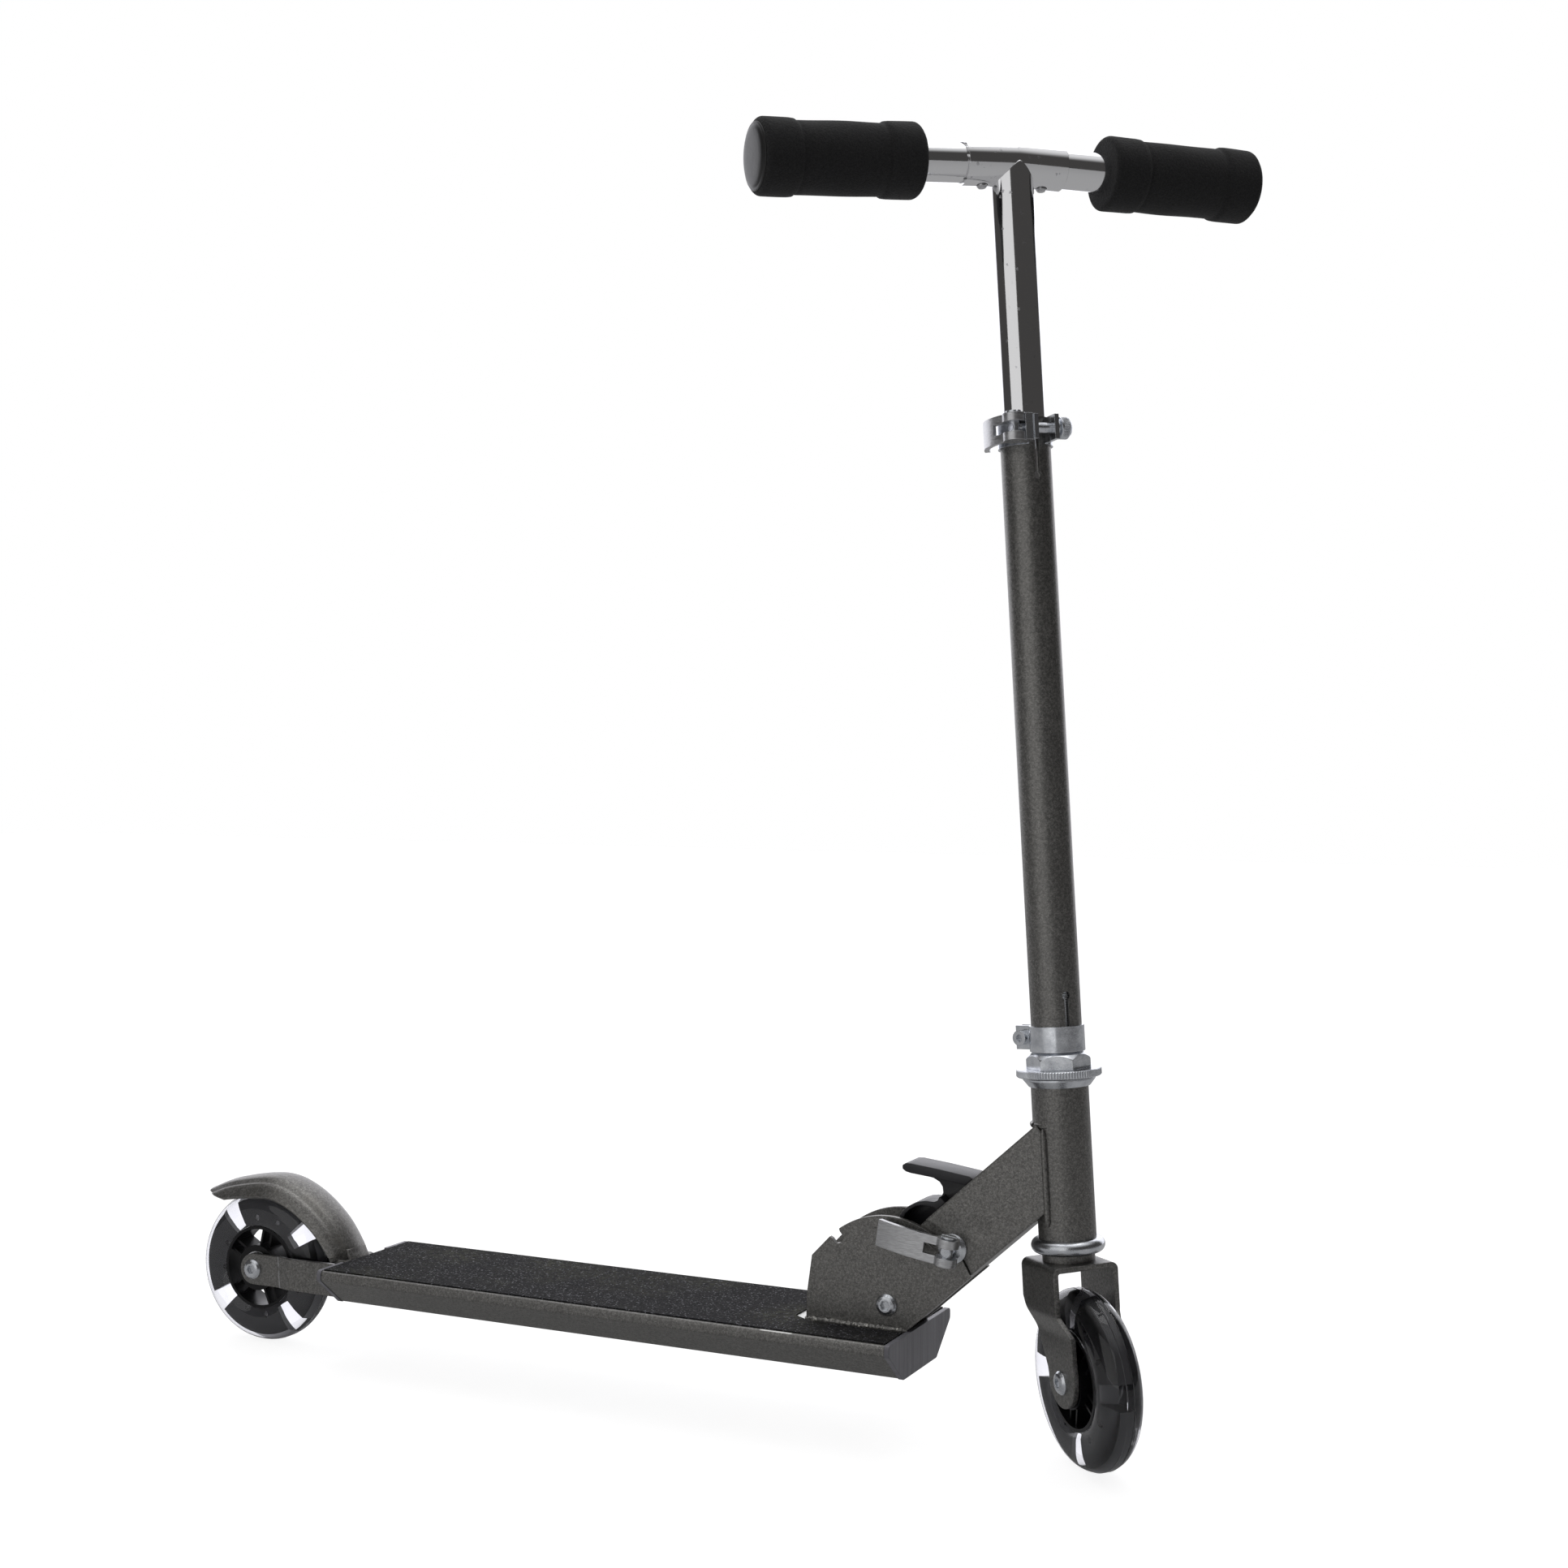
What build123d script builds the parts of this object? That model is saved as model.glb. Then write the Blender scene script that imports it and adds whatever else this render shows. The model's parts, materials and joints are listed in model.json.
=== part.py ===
from build123d import *
import math
import os

# Folding two-wheel kick scooter, millimetres. X forward, Y to the rider's left, Z up.
# Origin: on the ground, under the rear axle, on the deck's centre line.

# ---- running gear ----
wheel_diameter = 100.0
tyre_width = 24.0
core_diameter = 88.0          # moulded core, buried in the clear tyre
core_thickness = 7.0
hub_opening = 55.0            # open middle between the spokes
hub_rim = 2.0
boss_diameter = 30.0
spoke_pairs = 5
spoke_start = 31.0            # first pair, from the core's first window
spoke_gap = 7.0               # between the two thin spokes of a pair
spoke_thickness = 1.6
spoke_depth = 15.0
notch_count = 4               # windows in the core's edge
notch_inner = 58.0
notch_width = 14.0
core_hole = 3.3
core_hole_circle = 66.0
bearing_outer = 22.0          # size 608
bearing_bore = 8.0
bearing_width = 7.0
spacer_wall = 2.0
axle_diameter = 7.9
axle_head = 13.2
axle_head_height = 2.8
hex_socket = 5.0
axle_ahead = 123.0            # front axle ahead of the folding pivot
washer_thickness = 1.0
rear_core_turn = -37.0        # where the core's windows stand
front_core_turn = 0.0

# ---- deck ----
deck_length = 395.0
deck_gap = 28.0               # from the rear tyre to the deck
deck_rise = 14.0              # deck top above the rear axle
deck_height = 24.0
deck_width = 97.2
deck_bottom_width = 52.4
deck_lip = 6.0                # upright lip along each side of the top
deck_wall = 2.0
cap_thickness = 3.0
cap_plug = 12.0
cap_plug_wall = 3.0
tape_thickness = 0.8
tape_margin = 2.6
tape_front_cut = 84.0         # tape stops at the plates and runs out beside them
bare_strip = 9.0

# ---- rear arms and brake ----
arm_thickness = 3.0
arm_height = 20.4
arm_step_out = 3.0            # joggle, so that the arms widen towards the deck
arm_bend = 21.0
arm_bend_run = 10.0
arm_inside = 62.0             # length that runs into the deck
brake_pin_ahead = 11.0        # pin's distance behind the deck
brake_pin_drop = 11.0         # and below its top
brake_pin_diameter = 6.0
fender_sheet = 2.0
fender_crown = 23.0           # width between the two creases
fender_width = 39.0
fender_drop = 13.0
fender_ear = 3.0
fender_line = [(131.0, 15.6), (112.8, 11.8), (86.3, 12.3), (70.1, 14.7), (51.1, 16.8), (32.0, 20.8),
               (16.6, 25.1)]         # crown: angle about the axle, height over the tyre
fender_root = 3.4             # the crown ends this far behind the deck

# ---- folding joint ----
pivot_back = 15.0             # behind the deck's front end
pivot_rise = 14.6             # above the deck
pivot_bolt = 8.0
pivot_head = 12.8
plate_span = 31.6             # over the outside of the two plates
plate_thickness = 3.0
plate_radius = 51.1
horn_radius = 55.6            # front stop of the plate, ahead of the notch
plate_rear = 50.8             # behind the pivot
lock_pin = 6.0
seat_radius = 47.3            # pin centre when seated in a notch
notch_clearance = 0.3
fold_angle = 88.8
neck_angle = 42.3
neck_height = 40.0
neck_rise = 2.1               # tube centre above the line through the pivot
neck_wall = 2.0
neck_gap = 0.4                # between the neck's recessed sides and the plates
neck_nose = 13.6
lock_rest = 54.5              # pin centre from the pivot, drawn clear of the plates
lock_travel_in = 7.0
lock_travel_out = 2.0
lock_washer = 17.0

# ---- headset and column ----
head_rake = 3.75              # column leans back from upright
steer_angle = -45.6           # bars turned towards the rider's right
fork_offset = 15.0
steerer_diameter = 25.4
steerer_wall = 1.6
thread_pitch = 1.3
thread_depth = 0.55
head_diameter = 32.5
head_wall = 2.2
crown_gap = 13.8              # from the tyre to the top of the crown
boss_height = 4.1
boss_width = 29.6
head_length = 85.0
low_cup = 41.6
low_cup_height = 8.2
high_cup = 40.8
high_cup_height = 4.9
disc_diameter = 48.0
disc_thickness = 4.3
disc_gap = 0.6
knurl_count = 90
nut_flats = 31.4
nut_height = 9.6
clamp_height = 14.4
band_wall = 1.3
ear_length = 9.0
ear_thickness = 2.6
clamp_ear_angle = 210.0
column_diameter = 28.6
column_wall = 1.5
column_length = 356.3
slot_width = 2.6
keyhole = 4.8
low_slit = 17.1               # keyhole above the lower clamp
high_slit = 17.4              # keyhole below the collar
collar_height = 14.9
ear_gap = 10.0
collar_ear_reach = 28.0
collar_bolt = 5.9
collar_bolt_x = 22.0
knurled_nut = 12.4

# ---- fork ----
fork_strap = 3.0
crown_depth = 40.0
crown_width = 40.0
leg_end_radius = 15.0
leg_bend = 27.1               # where the legs start to close in, below the crown
leg_bend_radius = 12.0

# ---- handlebar ----
stem_diameter = 25.2
stem_wall = 1.5
stem_inside = 152.0           # length that stays in the column
stem_hole = 4.0
stem_hole_drop = 60.5         # height stop's hole below the bar
bar_rise = 147.4              # bar above the column
bar_droop = 1.8               # each handle falls this many degrees outwards
sleeve_diameter = 25.4
sleeve_half = 31.0
handle_diameter = 22.2
handle_wall = 1.4
handle_clearance = 0.15
handle_inner = 5.0
grip_inner = 58.7
grip_outer = 153.8
grip_barrel = 39.8
grip_flange = 42.2
grip_flange_length = 21.2
grip_round = 3.0
plug_disc = 37.0
plug_thickness = 2.4
button_diameter = 6.0
button_at = 19.0
button_proud = 1.6

# ---- quick release levers ----
lever_thickness = 3.0
lever_height = 15.4
lever_eye = 13.0
lever_window = 6.0
barrel_diameter = 7.0
fold_lever_bend = 100.0
fold_lever_sweep = 26.0
lock_lever_out = 10.0         # barrel centre beyond the plate's face
lock_lever_tilt = 6.0
lock_lever_lean = 8.0         # barrel leans this far off upright
collar_lever_out = 9.6        # barrel centre beyond the ear's face
column_lever_bend = 30.0
column_lever_sweep = 74.0
column_lever_tilt = 37.0
fit = 0.1                     # running clearance on pins
gap = 0.35                    # clearance between parts that move past each other

# ---- worked out from the sizes above ----
wheel_radius = wheel_diameter / 2
arm_inner = tyre_width / 2 + washer_thickness
arm_outer = arm_inner + arm_thickness
axle_reach = arm_outer + axle_head_height
plate_inner = plate_span / 2 - plate_thickness
deck_rear = wheel_radius + deck_gap
deck_front = deck_rear + deck_length
deck_top = wheel_radius + deck_rise
deck_bottom = deck_top - deck_height
brake_pin_x = deck_rear - brake_pin_ahead
brake_pin_z = deck_top - brake_pin_drop
pivot_x = deck_front - pivot_back
pivot_z = deck_top + pivot_rise
wheelbase = pivot_x + axle_ahead
crown_top = wheel_radius + crown_gap
boss_high = crown_top + boss_height
low_cup_low = boss_high + 0.5
head_low = low_cup_low + low_cup_height
head_high = head_low + head_length
high_cup_top = head_high + high_cup_height
disc_low = high_cup_top + disc_gap
disc_high = disc_low + disc_thickness
nut_high = disc_high + nut_height
clamp_low = nut_high + 0.2
clamp_high = clamp_low + clamp_height
low_keyhole = clamp_high + low_slit
column_low = clamp_low + 1.1
column_high = column_low + column_length
collar_high = column_high - 1.0
collar_low = collar_high - collar_height
high_keyhole = collar_low - high_slit
stem_low = column_high - stem_inside
bar_height = column_high + bar_rise
stem_hole_height = bar_height - stem_hole_drop
rake = math.radians(head_rake)
axis_up = Vector(-math.sin(rake), 0, math.cos(rake))
axis_forward = Vector(math.cos(rake), 0, math.sin(rake))
front_axle = Vector(wheelbase, 0, wheel_radius)
steer_foot = front_axle - axis_forward * fork_offset
steer_frame = Plane(origin=steer_foot, x_dir=axis_forward, z_dir=axis_up).location * Rot(0, 0, steer_angle)
neck_frame = Location((pivot_x, 0, pivot_z)) * Rot(0, -neck_angle, 0)
rear_frame = Location((0, 0, wheel_radius))
front_frame = steer_frame * Location((fork_offset, 0, 0))
side = {"right": -1, "left": 1}
clamp_middle = (clamp_low + clamp_high) / 2
clamp_bolt_x = column_diameter / 2 + band_wall + ear_length * 0.5
inner_seat = head_diameter / 2 - head_wall
lock_barrel_side = -(plate_span / 2 + lock_lever_out)
lock_barrel_frame = Location((lock_rest, lock_barrel_side, 0)) * Rot(0, neck_angle + lock_lever_lean, 0)
lock_lever_frame = lock_barrel_frame * Rot(0, 0, lock_lever_tilt)
collar_middle = (collar_low + collar_high) / 2
collar_bolt_frame = Location((collar_bolt_x, 0, collar_middle)) * Rot(-90, 0, 0)
collar_ear_face = ear_gap / 2 + ear_thickness
collar_barrel_frame = Location((collar_bolt_x, -(collar_ear_face + collar_lever_out), collar_middle))
collar_lever_frame = collar_barrel_frame * Rot(0, 0, column_lever_tilt)
collar_saddle_frame = Location((collar_bolt_x, -collar_ear_face, collar_middle)) * Rot(90, 0, 0)

os.makedirs("parts", exist_ok=True)


def save(name, shape, frame=None):
    """Write one named piece, or a group of like pieces, where it belongs."""
    solids = shape if isinstance(shape, list) else [shape]
    solids = [one for item in solids for one in item.solids()]
    if frame is not None:
        solids = [frame * one for one in solids]
    export_step(solids[0] if len(solids) == 1 else Compound(children=solids), f"parts/{name}.step")


def rod(diameter, low, high, frame=None):
    """Upright round bar from one height to another, in the frame given."""
    bar = Location((0, 0, low)) * Cylinder(diameter / 2, high - low, align=(Align.CENTER, Align.CENTER, Align.MIN))
    return bar if frame is None else frame * bar


def pipe(outer, inner, low, high, frame=None):
    return rod(outer, low, high, frame) - rod(inner, low - 1, high + 1, frame)


def across(x=0.0, z=0.0):
    """Frame whose upright is the scooter's left, for pins and axles."""
    return Location((x, 0, z)) * Rot(-90, 0, 0)


def block(x0, x1, y0, y1, z0, z1):
    box = Box(x1 - x0, y1 - y0, z1 - z0, align=(Align.MIN, Align.MIN, Align.MIN))
    return Location((x0, y0, z0)) * box


def side_shape(points, y0, y1):
    """Outline given in X and Z, as thick as from y0 to y1."""
    outline = Polyline(*[(x, 0, z) for x, z in points], close=True)
    return Location((0, y0, 0)) * extrude(make_face(outline), amount=y1 - y0, dir=(0, 1, 0))


def spun(points, frame=None):
    """Turned part: outline of radius and height about the upright."""
    outline = make_face(Polyline(*[(r, 0, z) for r, z in points], close=True))
    turned = revolve(outline, Axis.Z)
    return turned if frame is None else frame * turned


def screw_head(diameter, height, base, way, frame):
    """Low domed head with a hexagon socket, standing out from base."""
    radius = diameter / 2
    rim = height * 0.35
    points = [(0, 0), (radius, 0), (radius, rim), (radius * 0.82, height * 0.82), (radius * 0.6, height), (0, height)]
    head = spun(points)
    socket = extrude(RegularPolygon(hex_socket / 2, 6, major_radius=False), amount=height)
    head -= Location((0, 0, height * 0.35)) * socket
    turn = Location((0, 0, base)) * (Rot(0, 0, 0) if way > 0 else Rot(180, 0, 0))
    return frame * (turn * head)


# ---------------------------------------------------------------- wheels
def wheel_core(turn):
    """Moulded core: rim, buried flange with windows, paired spokes and boss."""
    half = tyre_width / 2
    rim = pipe(hub_opening, hub_opening - 2 * hub_rim, -half + 2, half - 2)
    flange = pipe(core_diameter, hub_opening - 0.5, -core_thickness / 2, core_thickness / 2)
    for index in range(notch_count):
        angle = turn + index * 360 / notch_count
        wedge = Polyline((notch_inner / 2 + 1.5, -notch_width * 0.36), (core_diameter, -notch_width * 0.95),
                         (core_diameter, notch_width * 0.95), (notch_inner / 2 + 1.5, notch_width * 0.36), close=True)
        cut = Location((0, 0, -half)) * extrude(make_face(wedge), amount=tyre_width)
        flange -= Rot(0, 0, angle) * cut
        for offset in (-30, 30):
            hole = Location((core_hole_circle / 2, 0, 0)) * rod(core_hole, -half, half)
            flange -= Rot(0, 0, angle + offset) * hole
    boss = rod(boss_diameter, -half, half)
    core = rim + flange + boss
    reach = hub_opening / 2 - hub_rim / 2
    for index in range(spoke_pairs):
        angle = turn + spoke_start + index * 360 / spoke_pairs
        for offset in (-1, 1):
            middle = offset * spoke_gap / 2
            spoke = block(boss_diameter / 2 - 2, reach, middle - spoke_thickness / 2,
                          middle + spoke_thickness / 2, -spoke_depth / 2, spoke_depth / 2)
            core += Rot(0, 0, angle) * spoke
    core -= rod(bearing_outer, half - bearing_width, half + 1)
    core -= rod(bearing_outer, -half - 1, -half + bearing_width)
    core -= rod(bearing_bore + 2 * spacer_wall + 1, -half, half)
    return core


def wheel_tyre():
    """Cast tyre: full round tread over the flange, flat-sided near the hub."""
    half = tyre_width / 2
    inner = hub_opening / 2
    face = half - 2
    crown = wheel_radius - half
    bottom = Polyline((inner, 0, -face), (crown - 7, 0, -half), (crown, 0, -half))
    tread = ThreePointArc((crown, 0, -half), (wheel_radius, 0, 0), (crown, 0, half))
    top = Polyline((crown, 0, half), (crown - 7, 0, half), (inner, 0, face), (inner, 0, -face))
    return revolve(make_face(bottom + tread + top), Axis.Z)


def bearing(low):
    """Sealed ball bearing: outer ring, shield and inner ring as one."""
    ring = pipe(bearing_outer, bearing_bore, low, low + bearing_width)
    shield_outer = bearing_outer - 3.6
    shield_inner = bearing_bore + 4.2
    for base in (low - 1, low + bearing_width - 0.4):
        ring -= pipe(shield_outer, shield_inner, base, base + 1.4)
    return ring


def wheel(prefix, frame, turn):
    half = tyre_width / 2
    placed = frame * Rot(-90, 0, 0)
    core = wheel_core(turn)
    save(f"{prefix}_wheel_core", core, placed)
    save(f"{prefix}_tyre", wheel_tyre() - core, placed)
    pair = [bearing(-half), bearing(half - bearing_width)]
    save(f"{prefix}_wheel_bearings", pair, placed)
    spacer = pipe(bearing_bore + 2 * spacer_wall, bearing_bore, -half + bearing_width, half - bearing_width)
    save(f"{prefix}_bearing_spacer", spacer, placed)


def wheel_axle(prefix, frame):
    """Sleeve nut and screw with a domed head at each end, and two spacers."""
    placed = frame * Rot(-90, 0, 0)
    half = tyre_width / 2
    barrel = rod(axle_diameter, -arm_outer, arm_outer)
    right = screw_head(axle_head, axle_head_height, -arm_outer, -1, Location())
    left = screw_head(axle_head, axle_head_height, arm_outer, 1, Location())
    save(f"{prefix}_axle", barrel + right + left, placed)
    washer = bearing_bore + 3.4
    rings = [pipe(washer, bearing_bore, half, arm_inner), pipe(washer, bearing_bore, -arm_inner, -half)]
    save(f"{prefix}_axle_washers", rings, placed)


# ---------------------------------------------------------------- deck
def deck_section(inset):
    """Cross-section of the deck: flat top, upright lips, sides sloping in."""
    top = deck_top - inset
    low = deck_bottom + inset
    upper = deck_width / 2 - inset
    lower = deck_bottom_width / 2 - inset * 0.55
    lip = deck_top - deck_lip
    points = [(-upper, top), (upper, top), (upper, lip), (lower, low), (-lower, low), (-upper, lip)]
    outline = make_face(Polyline(*[(0, y, z) for y, z in points], close=True))
    radius = max(2.2 - inset, 0.5)
    return fillet(outline.vertices(), radius)


def deck_bar(inset, rear, front):
    return Location((rear, 0, 0)) * extrude(deck_section(inset), amount=front - rear, dir=(1, 0, 0))


def deck_shell():
    low = deck_rear + cap_thickness
    high = deck_front - cap_thickness
    return deck_bar(0, low, high) - deck_bar(deck_wall, low - 1, high + 1)


def rear_arm(which):
    """Flat bar: round at the axle, joggled outwards, then into the deck."""
    way = side[which]
    half = arm_height / 2
    roof = deck_top - deck_wall - 0.3
    floor = deck_bottom + deck_wall + 0.2
    end = deck_rear + arm_inside
    bend_end = arm_bend + arm_bend_run
    lower = wheel_radius - half
    outline = (Polyline((0, 0, lower), (deck_rear - 8, 0, lower), (deck_rear - 4, 0, floor), (end, 0, floor),
                        (end, 0, roof), (arm_bend, 0, wheel_radius + half), (0, 0, wheel_radius + half))
               + ThreePointArc((0, 0, wheel_radius + half), (-half, 0, wheel_radius), (0, 0, lower)))
    plan = Polyline((-half - 1, arm_inner), (arm_bend, arm_inner), (bend_end, arm_inner + arm_step_out),
                    (end + 1, arm_inner + arm_step_out), (end + 1, arm_outer + arm_step_out),
                    (bend_end, arm_outer + arm_step_out), (arm_bend, arm_outer), (-half - 1, arm_outer), close=True)
    bar = extrude(make_face(plan), amount=2 * wheel_radius)
    profile = Location((0, -30, 0)) * extrude(make_face(outline), amount=90, dir=(0, 1, 0))
    arm = bar & profile
    arm -= rod(axle_diameter + 2 * fit, 0, 60, across(0, wheel_radius))
    arm -= rod(brake_pin_diameter, 0, 60, across(brake_pin_x, brake_pin_z))
    return arm if way > 0 else mirror(arm, Plane.XZ)


def arm_slots(clearance):
    """Openings that the two arms pass through."""
    reach = arm_outer + arm_step_out + clearance
    inner = arm_inner + arm_step_out - clearance
    front = deck_rear + cap_thickness + cap_plug + 1
    floor = deck_bottom + deck_wall
    roof = deck_top - deck_wall - 0.1
    left = block(deck_rear - 1, front, inner, reach, floor, roof)
    return left + block(deck_rear - 1, front, -reach, -inner, floor, roof)


def cap_plug_tube(rear, front):
    inset = deck_wall + 0.15
    return deck_bar(inset, rear, front) - deck_bar(inset + cap_plug_wall, rear - 1, front + 1)


def front_cap():
    face = deck_bar(-0.4, deck_front - cap_thickness, deck_front)
    inner = deck_front - cap_thickness
    return face + cap_plug_tube(inner - cap_plug, inner)


def rear_cap():
    """Rear end cap, open in the middle for the brake's root."""
    inner = deck_rear + cap_thickness
    cap = deck_bar(-0.4, deck_rear, inner) + cap_plug_tube(inner, inner + cap_plug)
    half = fender_width / 2 + 4
    cap -= block(deck_rear - 1, inner, -half, half, deck_bottom + 6, deck_top + 1)
    cap -= block(deck_rear - 1, inner + cap_plug + 1, -half + 3.5, half - 3.5, deck_bottom + 6, deck_top - 1)
    return cap - arm_slots(0.2)


def grip_tape():
    """Sheet of grit, with a tongue each side of the plates."""
    half = deck_width / 2 - tape_margin
    inner = plate_span / 2 + bare_strip * 0.5
    rear = deck_rear + cap_thickness + 0.6
    front = deck_front - cap_thickness - 0.6
    stop = pivot_x - plate_rear - bare_strip
    notch = stop + bare_strip * 1.5
    points = [(rear, -half), (front, -half), (front, -inner), (notch, -inner), (stop, -inner + bare_strip),
              (stop, inner - bare_strip), (notch, inner), (front, inner), (front, half), (rear, half)]
    sheet = extrude(make_face(Polyline(*points, close=True)), amount=tape_thickness)
    return Location((0, 0, deck_top)) * sheet


def side_plate(which):
    """Folding bracket: round top about the pivot, two locking notches."""
    way = side[which]
    low = deck_top - pivot_z
    radius = plate_radius
    rear = -plate_rear
    hind = math.radians(neck_angle + fold_angle)
    front = math.radians(neck_angle)
    shoulder = (rear + 3.2, 23.9)
    arc_start = (radius * math.cos(hind + 0.035), radius * math.sin(hind + 0.035))
    arc_mid = (radius * math.cos(1.45), radius * math.sin(1.45))
    arc_end = (radius * math.cos(front), radius * math.sin(front))
    horn_angle = front - math.radians(4.6)
    horn_in = (radius * math.cos(front - 0.03), radius * math.sin(front - 0.03))
    horn = (horn_radius * math.cos(horn_angle), horn_radius * math.sin(horn_angle))
    nose = (horn_radius * math.cos(math.radians(22.6)), horn_radius * math.sin(math.radians(22.6)))
    foot = (deck_front - cap_thickness - 0.5 - pivot_x, low)
    lines = (Polyline((rear, 0, low), (rear, 0, 0), (shoulder[0], 0, shoulder[1]), (arc_start[0], 0, arc_start[1]))
             + ThreePointArc((arc_start[0], 0, arc_start[1]), (arc_mid[0], 0, arc_mid[1]), (arc_end[0], 0, arc_end[1]))
             + Polyline((arc_end[0], 0, arc_end[1]), (horn_in[0], 0, horn_in[1]), (horn[0], 0, horn[1]),
                        (nose[0], 0, nose[1]), (foot[0], 0, foot[1]), (rear, 0, low)))
    plate = Location((0, plate_inner, 0)) * extrude(make_face(lines), amount=plate_thickness, dir=(0, 1, 0))
    pin = lock_pin / 2 + notch_clearance
    for angle in (hind, front):
        seat = (seat_radius * math.cos(angle), seat_radius * math.sin(angle))
        plate -= rod(2 * pin, 0, 40, across(*seat))
        mouth = side_shape([(-2, -pin), (2, -pin), (10, -pin - 3.0), (10, pin + 3.0), (2, pin), (-2, pin)], 0, 40)
        plate -= Location((seat[0], 0, seat[1])) * Rot(0, -math.degrees(angle), 0) * mouth
    plate -= rod(pivot_bolt, 0, 40, across())
    plate = Location((pivot_x, 0, pivot_z)) * plate
    return plate if way > 0 else mirror(plate, Plane.XZ)


def pivot_screw():
    frame = across(pivot_x, pivot_z)
    half = plate_span / 2
    barrel = rod(pivot_bolt - 0.1, -half, half, frame)
    ends = [screw_head(pivot_head, 3.4, way * half, way, frame) for way in (-1, 1)]
    return barrel + ends[0] + ends[1]


def brake_pin():
    frame = across(brake_pin_x, brake_pin_z)
    reach = arm_outer + arm_step_out
    shaft = rod(brake_pin_diameter - fit, -reach, reach, frame)
    heads = [rod(brake_pin_diameter + 3, way * reach, way * reach + way * 1.6, frame) if way > 0
             else rod(brake_pin_diameter + 3, -reach - 1.6, -reach, frame) for way in (-1, 1)]
    return shaft + heads[0] + heads[1]


# ---------------------------------------------------------------- brake
def fender_path():
    """Outer line of the crown, from the tail to the root."""
    points = []
    for angle, over in fender_line:
        turn = math.radians(angle)
        reach = wheel_radius + over
        points.append((reach * math.cos(turn), 0, wheel_radius + reach * math.sin(turn)))
    return Spline(*points, (deck_rear - fender_root, 0, deck_top))


def fender():
    """Pressed brake: crowned top, stepped and sloping sides, eared root."""
    path = fender_path()
    stations = 9
    sections = []
    for index in range(stations + 1):
        t = index / stations
        point = path @ t
        along = path % t
        up = Vector(-along.Z, 0, along.X)
        plane = Plane(origin=point, x_dir=(0, 1, 0), z_dir=along)
        sign = 1 if plane.y_dir.dot(up) > 0 else -1
        crown = fender_crown / 2
        edge = fender_width / 2
        drop = fender_drop * (1 - 0.35 * t ** 3) * (0.72 + 0.28 * min(1, t * 4))
        outer = [(-edge, -drop), (-crown - 3.2, -4.6), (-crown - 1.2, -3.4), (-crown * 0.85, -0.7), (0, 0),
                 (crown * 0.85, -0.7), (crown + 1.2, -3.4), (crown + 3.2, -4.6), (edge, -drop)]
        inner = [(x * (1 - fender_sheet / edge) if abs(x) > crown else x * 0.9, z - fender_sheet)
                 for x, z in reversed(outer[1:-1])]
        inner = [(edge - fender_sheet, -drop)] + inner + [(-edge + fender_sheet, -drop)]
        ring = [(x, sign * z) for x, z in outer + inner]
        sections.append(plane * make_face(Polyline(*ring, close=True)))
    shell = loft(sections, ruled=True)
    root_reach = arm_inner + arm_step_out - gap - 0.2
    x = deck_rear - 1.6
    low = brake_pin_z
    tongue = side_shape([(x - 3.4, low + 10), (x, low + 9), (x, low - 4), (x - 2.4, low - 4), (x - 2.4, low + 7)],
                        -root_reach, root_reach)
    tongue += side_shape([(x - 5.4, low + 17), (x - 3.2, low + 17), (x, low + 9), (x - 2.4, low + 6)],
                         -fender_crown * 0.42, fender_crown * 0.42)
    ear_shape = side_shape([(x - 3.4, low + 10), (x, low + 9), (x, low - 5), (brake_pin_x - 5, low - 5),
                            (brake_pin_x - 5, low + 5), (x - 7.4, low + 10)], 0, fender_ear)
    ears = Location((0, root_reach - fender_ear, 0)) * ear_shape + Location((0, -root_reach, 0)) * ear_shape
    whole = shell + tongue + ears
    return whole - rod(brake_pin_diameter + 0.05, -30, 30, across(brake_pin_x, brake_pin_z))


def coil(radius, wire, pitch, turns, frame):
    """Wound spring of round wire."""
    helix = Helix(pitch=pitch, height=pitch * turns, radius=radius)
    section = Plane(origin=helix @ 0, z_dir=helix % 0) * Circle(wire / 2)
    return frame * sweep(section, path=helix, is_frenet=True)


def brake_spring():
    frame = Location((brake_pin_x, -6, brake_pin_z)) * Rot(-90, 0, 0)
    return coil(brake_pin_diameter / 2 + 1.3, 1.4, 1.6, 7, frame)


# ---------------------------------------------------------------- neck
def neck_strip(height, width, low, high, rise=neck_rise):
    half = height / 2
    return block(low, high, -width / 2, width / 2, rise - half, rise + half)


def neck_body(inset):
    """Square tube, full width beyond the plates and narrow between them."""
    height = neck_height - 2 * inset
    wide = plate_span - 2 * inset
    narrow = 2 * (plate_inner - neck_gap) - 2 * inset
    step = horn_radius + 0.8 + (inset * 0.5)
    start = 4.0 - inset
    outer = neck_strip(height, wide, 20, 140) - rod(2 * step, -40, 40, across())
    slim = neck_strip(height, narrow, start, step + 6)
    return outer + slim


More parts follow.
